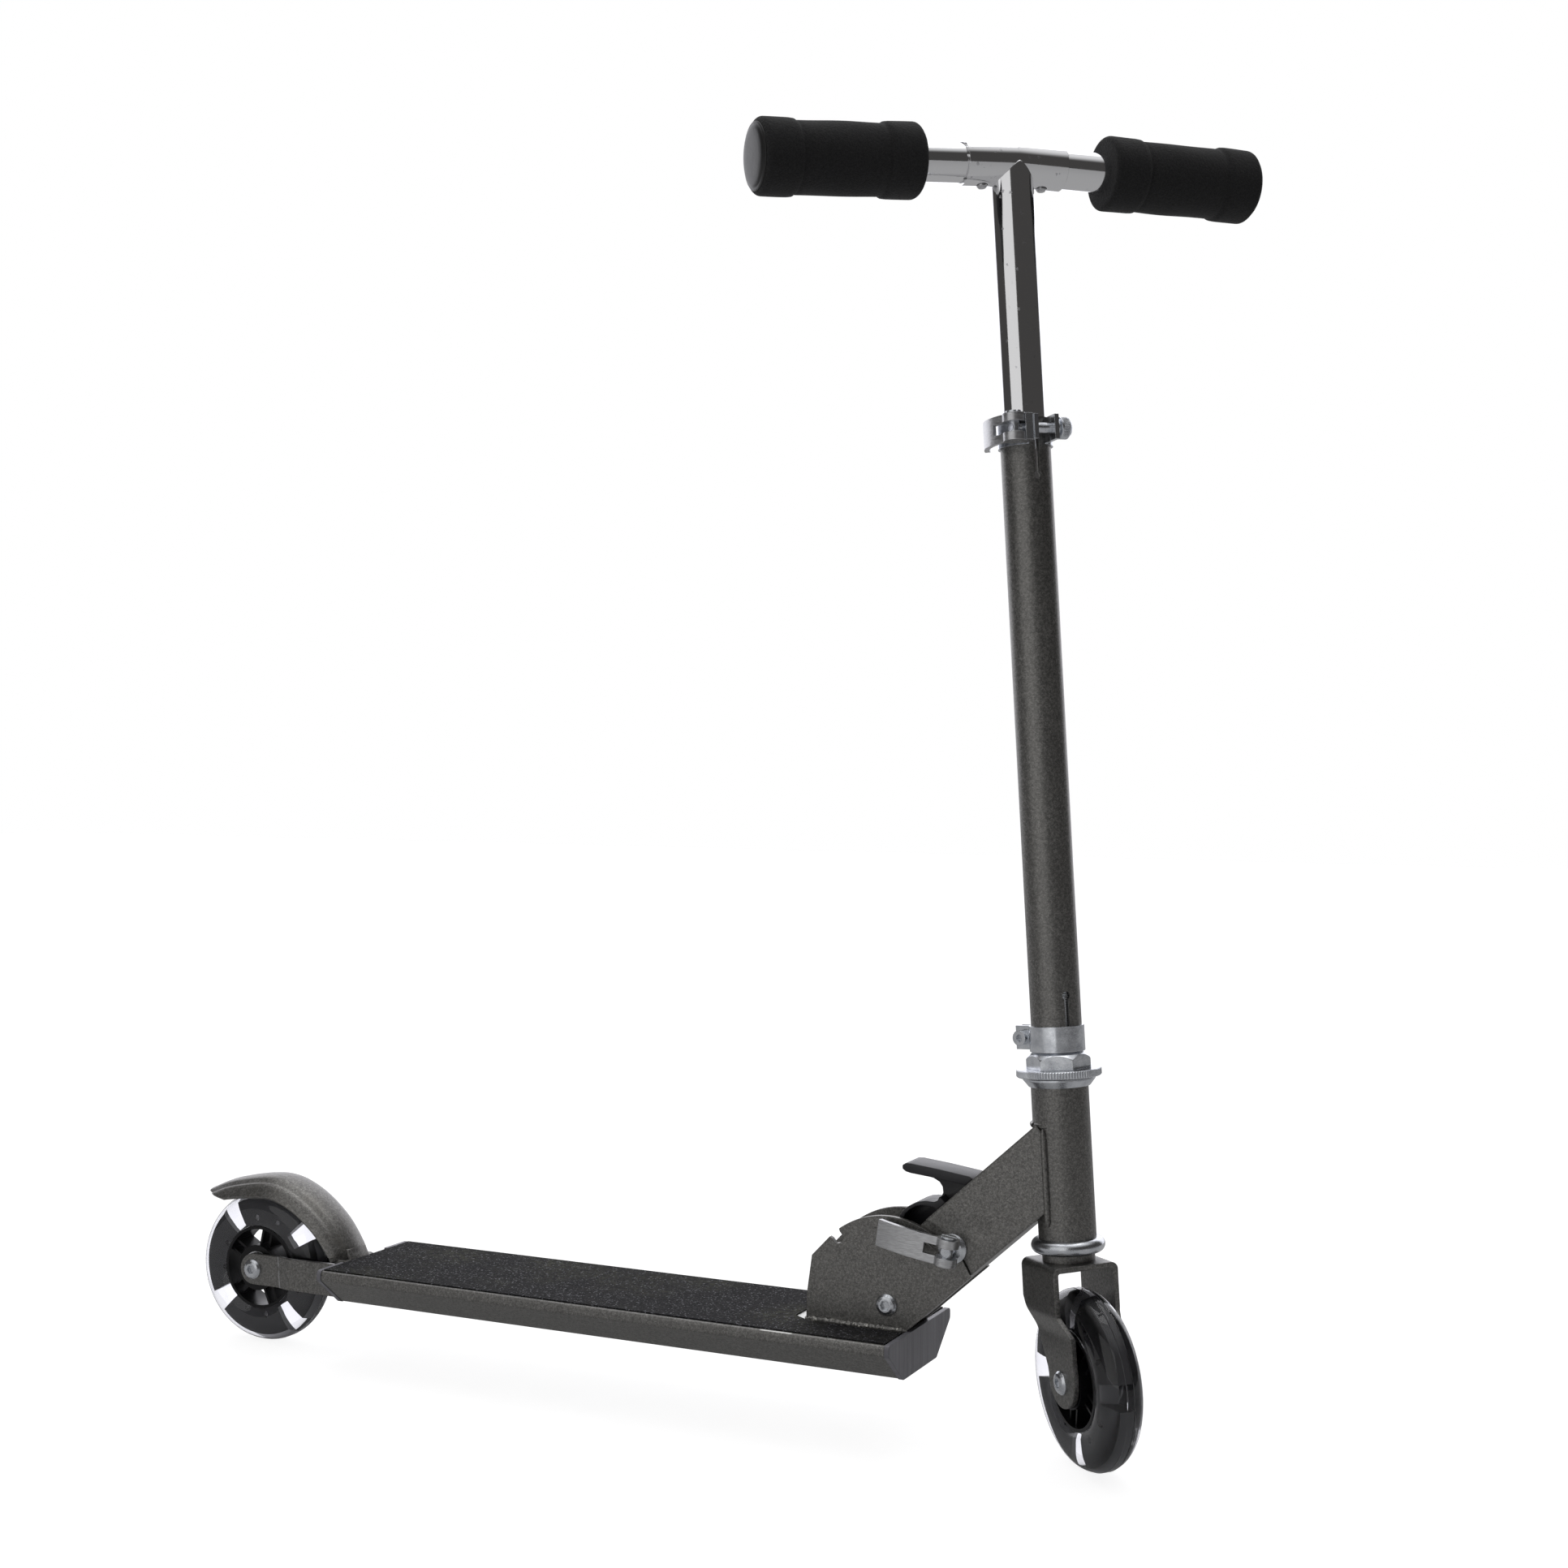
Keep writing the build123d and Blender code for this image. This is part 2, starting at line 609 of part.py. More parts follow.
def neck_tube():
    """Neck with the round nose at the pivot and the slot for the lock."""
    tube = neck_body(0)
    narrow = 2 * (plate_inner - neck_gap)
    nose = rod(2 * neck_nose, -narrow / 2, narrow / 2, across())
    tube += nose
    cavity = neck_body(neck_wall) & block(neck_nose + 4, 160, -40, 40, -40, 40)
    tube -= cavity
    tube -= rod(pivot_bolt + 0.05, -40, 40, across())
    low = lock_rest - lock_travel_in - lock_pin / 2 - gap
    high = lock_rest + lock_travel_out + lock_pin / 2 + gap
    middle = lock_pin / 2 + 0.2
    slot = block(low + middle, high - middle, -40, 40, -middle, middle)
    slot += rod(2 * middle, -40, 40, across(low + middle)) + rod(2 * middle, -40, 40, across(high - middle))
    tube -= slot
    placed = neck_frame * tube
    placed -= block(0, pivot_x + 200, -60, 60, 0, deck_top + 0.6)
    swept = Location((pivot_x, 0, pivot_z)) * block(-80, -(pivot_z - deck_top) + 0.6, -60, 60, -80, 120)
    placed -= swept
    placed -= rod(head_diameter, head_low - 40, head_high + 40, steer_frame)
    placed -= Location((steer_foot.X - 2, -60, 0)) * Box(200, 120, 600, align=(Align.MIN, Align.MIN, Align.MIN))
    return max(placed.solids(), key=lambda item: item.volume)


def release_lever():
    """Moulded thumb catch that rides on the neck: foot with a round lobe, curved web and thumb tab."""
    top = neck_rise + neck_height / 2 + 0.3
    outline = [(88, top), (88.5, top + 2.5), (75, top + 17.6), (62, top + 32), (59.5, top + 33), (58, top + 31.5),
               (58.5, top + 27), (62.3, top + 20.2), (66.2, top + 15), (66.5, top + 10), (64.4, top + 6.9),
               (60.6, top + 5.1), (57, top + 8.6), (53.8, top + 10.7), (48, top + 12.7), (42.8, top + 12.9),
               (36, top + 11), (33.5, top + 8), (34, top + 3), (38, top)]
    half = 11.0
    rib = 1.2
    body = side_shape(outline, -half, half)
    foot = side_shape([(39, top + 2), (56, top + 2), (57.5, top + 4.5), (53, top + 8.3), (43, top + 10.6),
                       (37, top + 8)], rib, half + 1)
    web = side_shape([(66, top + 2), (82, top + 2), (72, top + 13.6), (69.5, top + 13.6), (69.8, top + 9)],
                     rib, half + 1)
    for hollow in (foot, web):
        body -= hollow
        body -= mirror(hollow, Plane.XZ)
    return body


# ---------------------------------------------------------------- quick release
def lever_blade(bend, sweep_angle):
    """Curved flat lever from its eye, forked, with a window behind the eye."""
    height = lever_height
    half = height / 2
    eye = rod(lever_eye, -half, half)
    mid = bend
    inner = bend - lever_thickness
    centre = (0, -mid + lever_thickness / 2 + 1.0)
    a0 = 90.0
    a1 = 90.0 + sweep_angle

    def at(radius, angle):
        t = math.radians(angle)
        return (centre[0] + radius * math.cos(t), centre[1] + radius * math.sin(t))

    a_mid = (a0 + a1) / 2
    edge = (ThreePointArc(at(mid, a0), at(mid, a_mid), at(mid, a1)) + Line(at(mid, a1), at(inner, a1))
            + ThreePointArc(at(inner, a1), at(inner, a_mid), at(inner, a0)) + Line(at(inner, a0), at(mid, a0)))
    blade = Location((0, 0, -half)) * extrude(make_face(edge), amount=height)
    body = eye + blade
    fork = lever_window / 2
    body -= block(-lever_eye / 2 - 0.3, lever_eye, -lever_eye, lever_eye, -fork, fork)
    window = block(-lever_eye / 2 - lever_window - 1, -lever_eye / 2, -lever_eye, lever_eye, -fork, fork)
    body -= window
    body -= rod(barrel_diameter + 2 * fit, -half - 1, half + 1)
    body = mirror(body, Plane.XZ)
    return max(body.solids(), key=lambda item: item.volume)


def barrel_pin(bolt):
    """Cross pin through the lever's eyes, with a slotted head and a hole for its bolt."""
    half = lever_height / 2
    pin = rod(barrel_diameter, -half, half + 0.4) + rod(barrel_diameter + 2, half + 0.4, half + 1.4)
    pin -= block(-barrel_diameter, barrel_diameter, -0.5, 0.5, half + 0.8, half + 2)
    return pin - rod(bolt, -20, 20, Rot(-90, 0, 0))


def lock_skewer():
    """Lock pin: a long skewer through the neck's slot and both notches."""
    half = plate_span / 2
    frame = across(lock_rest, 0)
    return rod(lock_pin, -(half + lock_lever_out + barrel_diameter / 2 - 1.2), half + 8, frame)


def lock_washers():
    """Dished washers that bear on the plates, one each side."""
    half = plate_span / 2 + 0.3
    radius = lock_washer / 2
    hole = lock_pin / 2 + fit
    points = [(hole, 0), (radius, 0), (radius, 1.2), (radius * 0.72, 2.6), (hole, 3.0)]
    frame = across(lock_rest, 0)
    left = frame * (Location((0, 0, half)) * spun(points))
    right = frame * (Location((0, 0, -half)) * Rot(180, 0, 0) * spun(points))
    return [left, right]


def lock_nut():
    frame = across(lock_rest, 0)
    low = plate_span / 2 + 3.5
    body = rod(11.0, low, low + 6.5) - rod(lock_pin, low - 1, low + 4.5)
    body = chamfer(body.edges().filter_by(GeomType.CIRCLE).group_by(Axis.Z)[-1], 1.6)
    return frame * body


# ---------------------------------------------------------------- headset
def ball_ring(middle, radius, ball, count):
    balls = []
    for index in range(count):
        angle = 2 * math.pi * index / count
        where = Location((radius * math.cos(angle), radius * math.sin(angle), middle))
        balls.append(where * Sphere(ball / 2))
    return balls


def lower_cup():
    """Lower cup: rolled outside, with a seat that is pressed into the head tube."""
    roll = low_cup_height / 2
    flat = low_cup / 2 - roll
    lip = inner_seat - 0.9
    outline = (Polyline((15.6, 0, low_cup_low), (flat, 0, low_cup_low))
               + ThreePointArc((flat, 0, low_cup_low), (low_cup / 2, 0, low_cup_low + roll), (flat, 0, head_low))
               + Polyline((flat, 0, head_low), (inner_seat, 0, head_low), (inner_seat, 0, head_low + 6),
                          (lip, 0, head_low + 6), (lip, 0, head_low - 1.6), (19.2, 0, head_low - 2.3),
                          (19.2, 0, low_cup_low + 2.4), (15.6, 0, low_cup_low + 1.2), (15.6, 0, low_cup_low)))
    return revolve(make_face(outline), Axis.Z)


def knurled_disc():
    radius = disc_diameter / 2
    bore = steerer_diameter / 2
    disc = spun([(bore, disc_low), (radius - 0.6, disc_low), (radius, disc_low + 0.6), (radius, disc_high - 0.6),
                 (radius - 0.6, disc_high), (bore, disc_high)])
    skirt = spun([(bore, disc_low - 1.6), (14.6, disc_low - 1.6), (16.0, disc_low), (bore, disc_low)])
    cutter = Location((radius, 0, 0)) * Rot(0, 0, 45) * Box(0.75, 0.75, 20)
    cutters = [Rot(0, 0, 360 * index / knurl_count) * Location((0, 0, disc_low)) * cutter
               for index in range(knurl_count)]
    return (disc - cutters) + skirt


def lock_ring_nut():
    """Hexagon nut with domed corners, locking the threaded disc."""
    low = disc_high + 0.05
    flats = RegularPolygon(nut_flats / 2, 6, major_radius=False)
    hexagon = Location((0, 0, low)) * extrude(flats, amount=nut_high - low)
    corner = nut_flats / 2 / math.cos(math.pi / 6)
    dome = spun([(0, low), (corner + 1, low), (corner + 1, low + 3.6), (corner - 0.6, nut_high - 3.4),
                 (nut_flats / 2 - 1.6, nut_high), (0, nut_high)])
    return (hexagon & dome) - rod(steerer_diameter, low - 1, nut_high + 1)


def steerer():
    """Threaded tube that stands on the fork's crown."""
    radius = steerer_diameter / 2
    root = radius - thread_depth
    top = low_keyhole + 18
    start = clamp_high - 12
    points = [(radius - steerer_wall - 0.6, crown_top), (radius, crown_top), (radius, start)]
    height = start
    while height + thread_pitch < top:
        points += [(root, height + thread_pitch / 2), (radius, height + thread_pitch)]
        height += thread_pitch
    points += [(radius, top), (radius - steerer_wall - 0.6, top)]
    return spun(points)


def band(inner, low, high, wall, ear_out, ear_half_gap, ear_angle, bolt, bolt_height):
    """Split clamp band with two ears and a cross hole."""
    outer = inner / 2 + wall
    ring = pipe(2 * outer, inner, low, high)
    for way in (-1, 1):
        y0 = way * ear_half_gap
        y1 = way * (ear_half_gap + ear_thickness)
        ear = block(inner / 2 - 1.5, ear_out, min(y0, y1), max(y0, y1), low + 0.5, high - 0.5)
        ring += ear
    ring -= block(0, outer + 1, -ear_half_gap, ear_half_gap, low - 1, high + 1)
    ring -= rod(inner, low - 1, high + 1)
    ring -= rod(bolt, -40, 40, Location((bolt_height[0], 0, bolt_height[1])) * Rot(-90, 0, 0))
    return Rot(0, 0, ear_angle) * ring


def clamp_screw():
    """Socket screw that closes the lower clamp's ears."""
    half = 2.0 + ear_thickness
    frame = (Rot(0, 0, clamp_ear_angle) * Location((clamp_bolt_x, 0, clamp_middle)) * Rot(-90, 0, 0))
    head = pipe(8.5, 4.0, half, half + 4.0, frame) + rod(8.5, half, half + 1.6, frame)
    return head + rod(5.0, -half - 2.0, half, frame)


def collar_bolt_rod():
    """Draw bolt through both ears, screwed into the lever's barrel."""
    return rod(collar_bolt, -(collar_ear_face + collar_lever_out + barrel_diameter / 2 - 1.2),
               collar_ear_face + 7.0, collar_bolt_frame)


def knurled_thumb_nut():
    """Round nut with a knurled band between two beads."""
    low = collar_ear_face + 0.05
    r = knurled_nut / 2
    nut = spun([(0, low), (r - 1.6, low), (r - 1.6, low + 1.4), (r, low + 2.2), (r, low + 7.2), (r - 1.2, low + 8.6),
                (0, low + 8.6)])
    nut -= rod(collar_bolt, low - 1, low + 6.95)
    teeth = 40
    cutter = Location((r, 0, low + 4.9)) * Rot(0, 0, 45) * Box(0.5, 0.5, 3.4)
    nut -= [Rot(0, 0, 360 * index / teeth) * cutter for index in range(teeth)]
    return collar_bolt_frame * nut


def saddle(frame):
    """Plastic saddle between the lever's cam and the ear."""
    hollow = lever_eye / 2 + 0.15
    centre = collar_lever_out
    body = block(-5.2, 5.2, -lever_height / 2 + 0.2, lever_height / 2 - 0.2, 0.05, 5.0)
    body -= rod(2 * hollow, -20, 20, Location((0, 0, centre)) * Rot(-90, 0, 0))
    body -= rod(collar_bolt + 2 * fit, -1, 20)
    return frame * body


def column_tube():
    """Outer column, slit at both ends so that the clamps can close it."""
    tube = pipe(column_diameter, column_diameter - 2 * column_wall, column_low, column_high)
    tube -= block(0, 40, -slot_width / 2, slot_width / 2, column_low - 1, low_keyhole)
    tube -= block(0, 40, -slot_width / 2, slot_width / 2, high_keyhole, column_high + 1)
    for height in (low_keyhole, high_keyhole):
        tube -= rod(keyhole, 0, 40, Location((0, 0, height)) * Rot(0, 90, 0))
    return tube


# ---------------------------------------------------------------- fork
def fork():
    """Bent strap: flat crown, legs that narrow and close in on the axle."""
    wide = crown_width / 2
    near = arm_outer
    top = crown_top
    half_top = crown_depth / 2
    t = fork_strap
    bend = crown_top - leg_bend
    front_plan = Polyline((0, -wide, top), (0, wide, top), (0, wide, bend), (0, near, bend - 10), (0, near, -30),
                          (0, near - t, -30), (0, near - t, bend - 10.6), (0, wide - t, bend + 0.6),
                          (0, wide - t, top - t), (0, -wide + t, top - t), (0, -wide + t, bend + 0.6),
                          (0, -near + t, bend - 10.6), (0, -near + t, -30), (0, -near, -30),
                          (0, -near, bend - 10), (0, -wide, bend), close=True)
    strap_face = fillet(make_face(front_plan).vertices().filter_by_position(Axis.Z, top - 0.01, top + 0.01), 4.0)
    strap_face = fillet(strap_face.vertices().filter_by_position(Axis.Z, top - t - 0.01, top - t + 0.01), 1.2)
    bends = strap_face.vertices().filter_by_position(Axis.Z, bend - 11, bend + 1)
    strap_face = fillet(bends, leg_bend_radius)
    strap = Location((-60, 0, 0)) * extrude(strap_face, amount=120, dir=(1, 0, 0))
    r = leg_end_radius
    e = fork_offset
    outline = (Polyline((e - r, 0, 2), (e - r - 1, 0, 6), (-half_top, 0, bend + 6), (-half_top, 0, top + 2),
                        (half_top, 0, top + 2), (half_top, 0, bend), (e + r - 1, 0, bend - 10), (e + r, 0, 2))
               + ThreePointArc((e + r, 0, 2), (e, 0, -r + 1), (e - r, 0, 2)))
    profile = Location((0, -60, 0)) * extrude(make_face(outline), amount=120, dir=(0, 1, 0))
    body = strap & profile
    body -= rod(axle_diameter + 2 * fit, -60, 60, Location((e, 0, 0)) * Rot(-90, 0, 0))
    body -= rod(steerer_diameter - 2 * steerer_wall - 1.2, top - 10, top + 10)
    return body


# ---------------------------------------------------------------- handlebar
def handle_frame(way):
    """Frame whose upright runs outwards along one handle."""
    return Location((0, 0, bar_height)) * Rot(0, 0, 0 if way > 0 else 180) * Rot(-90 - bar_droop, 0, 0)


def stem():
    """Bright inner tube, coped to the sleeve and drilled for the height stop."""
    tube = pipe(stem_diameter, stem_diameter - 2 * stem_wall, stem_low, bar_height)
    for way in (-1, 1):
        tube -= rod(sleeve_diameter, -1, sleeve_half, handle_frame(way))
    tube -= rod(stem_hole, 0, 40, Location((0, 0, stem_hole_height)) * Rot(0, 0, 238) * Rot(0, 90, 0))
    return max(tube.solids(), key=lambda item: item.volume)


def sleeve():
    """Cross sleeve that the two handles plug into, mitred at its middle."""
    bore = handle_diameter + 2 * handle_clearance
    body = None
    for way in (-1, 1):
        half = pipe(sleeve_diameter, bore, -3, sleeve_half, handle_frame(way))
        half -= rod(button_diameter + 2 * gap, -40, 0, handle_frame(way) * button_place())
        half &= block(-40, 40, min(0, 40 * way), max(0, 40 * way), bar_height - 40, bar_height + 40)
        body = half if body is None else body + half
    return body


def button_place():
    """The snap button looks down out of the sleeve's underside."""
    return Location((0, 0, button_at)) * Rot(90, 0, 0)


def handle_tube(way):
    tube = pipe(handle_diameter, handle_diameter - 2 * handle_wall, handle_inner, grip_outer - 1)
    tube = handle_frame(way) * tube
    tube -= rod(button_diameter + 2 * gap, -40, 0, handle_frame(way) * button_place())
    return tube


def snap_button(way):
    """Domed button that snaps through the tube and the sleeve."""
    frame = handle_frame(way) * button_place()
    inner = handle_diameter / 2 - handle_wall - 1.4
    outer = sleeve_diameter / 2 + button_proud
    r = button_diameter / 2
    shape = spun([(0, -outer), (r * 0.7, -outer), (r, -outer + 1.0), (r, -inner), (r + 1.3, -inner),
                  (r + 1.3, -inner + 1.2), (0, -inner + 1.2)])
    return frame * shape


def grip(way):
    """Foam grip: long raised ends, a slightly slimmer middle."""
    bore = handle_diameter / 2
    barrel = grip_barrel / 2
    flange = grip_flange / 2
    low = grip_inner
    high = grip_outer
    r = grip_round
    left = low + grip_flange_length
    right = high - grip_flange_length
    outline = (Polyline((bore, 0, low), (flange - r, 0, low))
               + ThreePointArc((flange - r, 0, low), (flange - 0.29 * r, 0, low + 0.29 * r), (flange, 0, low + r))
               + Polyline((flange, 0, low + r), (flange, 0, left - 1), (barrel, 0, left), (barrel, 0, right),
                          (flange, 0, right + 1), (flange, 0, high - r))
               + ThreePointArc((flange, 0, high - r), (flange - 0.29 * r, 0, high - 0.29 * r), (flange - r, 0, high))
               + Polyline((flange - r, 0, high), (bore, 0, high), (bore, 0, low)))
    return handle_frame(way) * revolve(make_face(outline), Axis.Z)


def end_plug(way):
    """Smooth cap pushed into the open end of the handle."""
    r = plug_disc / 2
    stem_r = handle_diameter / 2 - handle_wall
    high = grip_outer
    shape = spun([(0, high - 14), (stem_r - 0.4, high - 14), (stem_r, high - 12), (stem_r, high), (r, high),
                  (r, high + plug_thickness * 0.4), (r * 0.9, high + plug_thickness * 0.85),
                  (r * 0.5, high + plug_thickness), (0, high + plug_thickness)])
    return handle_frame(way) * shape


# ---------------------------------------------------------------- pieces, from the rear forwards
wheel("rear", rear_frame, rear_core_turn)
wheel_axle("rear", rear_frame)
for which in side:
    save(f"rear_arm_{which}", rear_arm(which))
    save(f"side_plate_{which}", side_plate(which))
save("deck_shell", deck_shell())
save("deck_cap_rear", rear_cap())
save("deck_cap_front", front_cap())
save("grip_tape", grip_tape())
save("pivot_screw", pivot_screw())
save("brake_pin", brake_pin())
save("brake_spring", brake_spring())
save("fender_brake", fender())

save("neck_tube", neck_tube())
save("head_tube", pipe(head_diameter, head_diameter - 2 * head_wall, head_low, head_high), steer_frame)
save("head_cup_lower", lower_cup(), steer_frame)
save("head_cup_upper", spun([(inner_seat - 0.9, head_high - 6), (inner_seat, head_high - 6), (inner_seat, head_high),
                             (17.4, head_high), (high_cup / 2, high_cup_top - 1.1), (high_cup / 2, high_cup_top),
                             (19.4, high_cup_top), (19.0, high_cup_top - 1.7),
                             (inner_seat - 0.9, high_cup_top - 2.5)]), steer_frame)
save("lower_balls", ball_ring(head_low - 4.2, 17.1, 3.9, 22), steer_frame)
save("upper_balls", ball_ring(disc_low - 1.25, 17.4, 2.3, 28), steer_frame)
save("release_lever", release_lever(), neck_frame)
save("lock_skewer", lock_skewer(), neck_frame)
save("lock_washers", lock_washers(), neck_frame)
save("lock_nut", lock_nut(), neck_frame)
save("lock_lever", lever_blade(fold_lever_bend, fold_lever_sweep), neck_frame * lock_lever_frame)
save("lock_lever_pin", barrel_pin(lock_pin), neck_frame * lock_barrel_frame)

save("fork", fork(), steer_frame)
save("crown_race", spun([(steerer_diameter / 2, crown_top), (boss_width / 2, crown_top), (boss_width / 2, boss_high),
                         (15.05, boss_high + 0.6), (15.05, head_low - 3), (steerer_diameter / 2, head_low - 2)]),
     steer_frame)
save("steerer_tube", steerer(), steer_frame)
save("race_disc", knurled_disc(), steer_frame)
save("headset_nut", lock_ring_nut(), steer_frame)
save("column_tube", column_tube(), steer_frame)
save("column_clamp", band(column_diameter, clamp_low, clamp_high, band_wall,
                          column_diameter / 2 + band_wall + ear_length, 2.0, clamp_ear_angle,
                          5.2, (clamp_bolt_x, clamp_middle)), steer_frame)
save("clamp_screw", clamp_screw(), steer_frame)
save("collar_band", band(column_diameter, collar_low, collar_high, band_wall, collar_ear_reach, ear_gap / 2, 0.0,
                         collar_bolt + 0.2, (collar_bolt_x, collar_middle)), steer_frame)
save("collar_bolt", collar_bolt_rod(), steer_frame)
save("collar_nut", knurled_thumb_nut(), steer_frame)
save("collar_saddle", saddle(collar_saddle_frame), steer_frame)
save("collar_lever", lever_blade(column_lever_bend, column_lever_sweep), steer_frame * collar_lever_frame)
save("collar_lever_pin", barrel_pin(collar_bolt), steer_frame * collar_barrel_frame)
wheel("front", front_frame, front_core_turn)
wheel_axle("front", front_frame)

save("stem_tube", stem(), steer_frame)
save("handle_sleeve", sleeve(), steer_frame)
for which, way in side.items():
    save(f"handle_tube_{which}", handle_tube(way), steer_frame)
    save(f"snap_button_{which}", snap_button(way), steer_frame)
    save(f"grip_{which}", grip(way), steer_frame)
    save(f"grip_plug_{which}", end_plug(way), steer_frame)
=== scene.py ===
import json
import math
import random

import bmesh
import bpy
from mathutils import Matrix, Vector


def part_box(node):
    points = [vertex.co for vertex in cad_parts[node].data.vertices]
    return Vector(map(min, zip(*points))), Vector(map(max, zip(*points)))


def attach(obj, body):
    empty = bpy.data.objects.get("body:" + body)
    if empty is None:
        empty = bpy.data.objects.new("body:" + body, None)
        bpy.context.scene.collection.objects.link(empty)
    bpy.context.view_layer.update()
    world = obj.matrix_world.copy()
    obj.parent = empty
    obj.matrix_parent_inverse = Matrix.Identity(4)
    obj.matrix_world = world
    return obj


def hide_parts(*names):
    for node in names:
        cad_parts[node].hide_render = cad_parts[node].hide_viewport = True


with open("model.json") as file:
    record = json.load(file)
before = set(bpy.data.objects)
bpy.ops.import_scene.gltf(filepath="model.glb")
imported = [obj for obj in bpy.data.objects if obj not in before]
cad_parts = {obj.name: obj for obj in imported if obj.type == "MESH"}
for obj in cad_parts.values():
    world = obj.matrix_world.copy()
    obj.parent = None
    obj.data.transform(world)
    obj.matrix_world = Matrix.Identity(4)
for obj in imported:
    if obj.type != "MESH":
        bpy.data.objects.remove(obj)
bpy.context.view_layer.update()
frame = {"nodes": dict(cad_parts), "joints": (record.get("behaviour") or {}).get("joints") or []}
nodes = frame["nodes"]
joints = {joint["name"]: joint for joint in frame["joints"]}

# Studio: a pale floor, white all round the back, a darker room behind the camera and two softboxes.
# The camera stands by the rider's right, level with the middle of the column.
stand = (0.9106, -1.1312, 0.3812)
yaw = math.radians(25.04)
level = math.radians(89.88)
lean = math.radians(0.52)
lens_data = bpy.data.cameras.new("camera")
lens_data.lens = 47.83
lens_data.sensor_width = 36.0
lens_data.clip_end = 60.0
camera = bpy.data.objects.new("camera", lens_data)
camera.matrix_world = (Matrix.Translation(stand) @ Matrix.Rotation(yaw, 4, "Z")
                       @ Matrix.Rotation(level, 4, "X") @ Matrix.Rotation(lean, 4, "Z"))
bpy.context.scene.collection.objects.link(camera)
bpy.context.scene.camera = camera
bpy.context.scene.view_settings.view_transform = "Standard"
away = Vector((-math.sin(yaw), math.cos(yaw), 0.0))
leftwards = Vector((-math.cos(yaw), -math.sin(yaw), 0.0))
middle = Vector((0.42, 0.0, 0.38))


class Value:
    """One number of a shader. Sums, products and the like add their own Math nodes."""

    def __init__(self, surface, socket):
        self.surface = surface
        self.socket = socket

    def math(self, operation, *others):
        return self.surface.node("ShaderNodeMath", {"operation": operation}, dict(enumerate((self, *others))))

    def __add__(self, other):
        return self.math("ADD", other)

    def __mul__(self, other):
        return self.math("MULTIPLY", other)

    def __sub__(self, other):
        return self.math("SUBTRACT", other)

    def __rsub__(self, other):
        return self.surface.node("ShaderNodeMath", {"operation": "SUBTRACT"}, {0: other, 1: self})

    def __pow__(self, other):
        return self.math("POWER", other)

    __radd__ = __add__
    __rmul__ = __mul__

    def ramp(self, low, high):
        """0 below low, 1 above high, smooth between."""
        return self.surface.node("ShaderNodeMapRange", {"interpolation_type": "SMOOTHSTEP"},
                                 {"Value": self, "From Min": low, "From Max": high})


class Surface:
    """A material, or the studio's sky, and the nodes that are added to it."""

    def __init__(self, owner):
        self.owner = owner
        owner.use_nodes = True
        self.tree = owner.node_tree

    def node(self, kind, settings=None, sockets=None, output=0):
        made = self.tree.nodes.new(kind)
        for name, setting in (settings or {}).items():
            setattr(made, name, setting)
        for name, given in (sockets or {}).items():
            self.plug(made.inputs[name], given)
        return Value(self, made.outputs[output])

    def plug(self, socket, given):
        if isinstance(given, Value):
            self.tree.links.new(given.socket, socket)
        else:
            socket.default_value = given

    def blend(self, low, high, share):
        """Colour between two colours."""
        return self.node("ShaderNodeMix", {"data_type": "RGBA"}, {0: share, 6: low, 7: high}, 2)

    def place(self):
        return self.node("ShaderNodeTexCoord", output="Object")

    def axes(self):
        """X, Y and Z of a point on the piece, each as a number."""
        split = self.tree.nodes.new("ShaderNodeSeparateXYZ")
        self.plug(split.inputs[0], self.place())
        return [Value(self, out) for out in split.outputs]

    def grain(self, scale, detail=2.0, stretch=(1.0, 1.0, 1.0)):
        """Soft noise, scale in waves to the metre."""
        spread = self.node("ShaderNodeMapping", None, {"Vector": self.place(), "Scale": stretch})
        return self.node("ShaderNodeTexNoise", None, {"Vector": spread, "Scale": scale, "Detail": detail})

    def flakes(self, scale):
        """Small cells, each with its own number from 0 to 1."""
        cells = self.node("ShaderNodeTexVoronoi", None, {"Vector": self.place(), "Scale": scale}, "Color")
        return self.node("ShaderNodeSeparateColor", None, {"Color": cells})

    def bump(self, height, depth, under=None):
        sockets = {"Height": height, "Distance": depth, "Strength": 1.0}
        if under is not None:
            sockets["Normal"] = under
        return self.node("ShaderNodeBump", None, sockets)

    def rounded(self, radius):
        """Normal that rounds off the piece's sharp edges."""
        return self.node("ShaderNodeBevel", {"samples": 4}, {"Radius": radius})

    def seen(self):
        """1 where the eye looks straight on or through clear stuff, 0 where something is lit or mirrored."""
        straight_on = self.node("ShaderNodeLightPath", output="Is Camera Ray")
        return straight_on.math("MAXIMUM", self.node("ShaderNodeLightPath", output="Is Transmission Ray"))

    def finish(self, **sockets):
        shader = self.tree.nodes["Principled BSDF"]
        for name, given in sockets.items():
            self.plug(shader.inputs[name.replace("_", " ")], given)
        return self.owner


def surface(name):
    return Surface(bpy.data.materials.new(name))


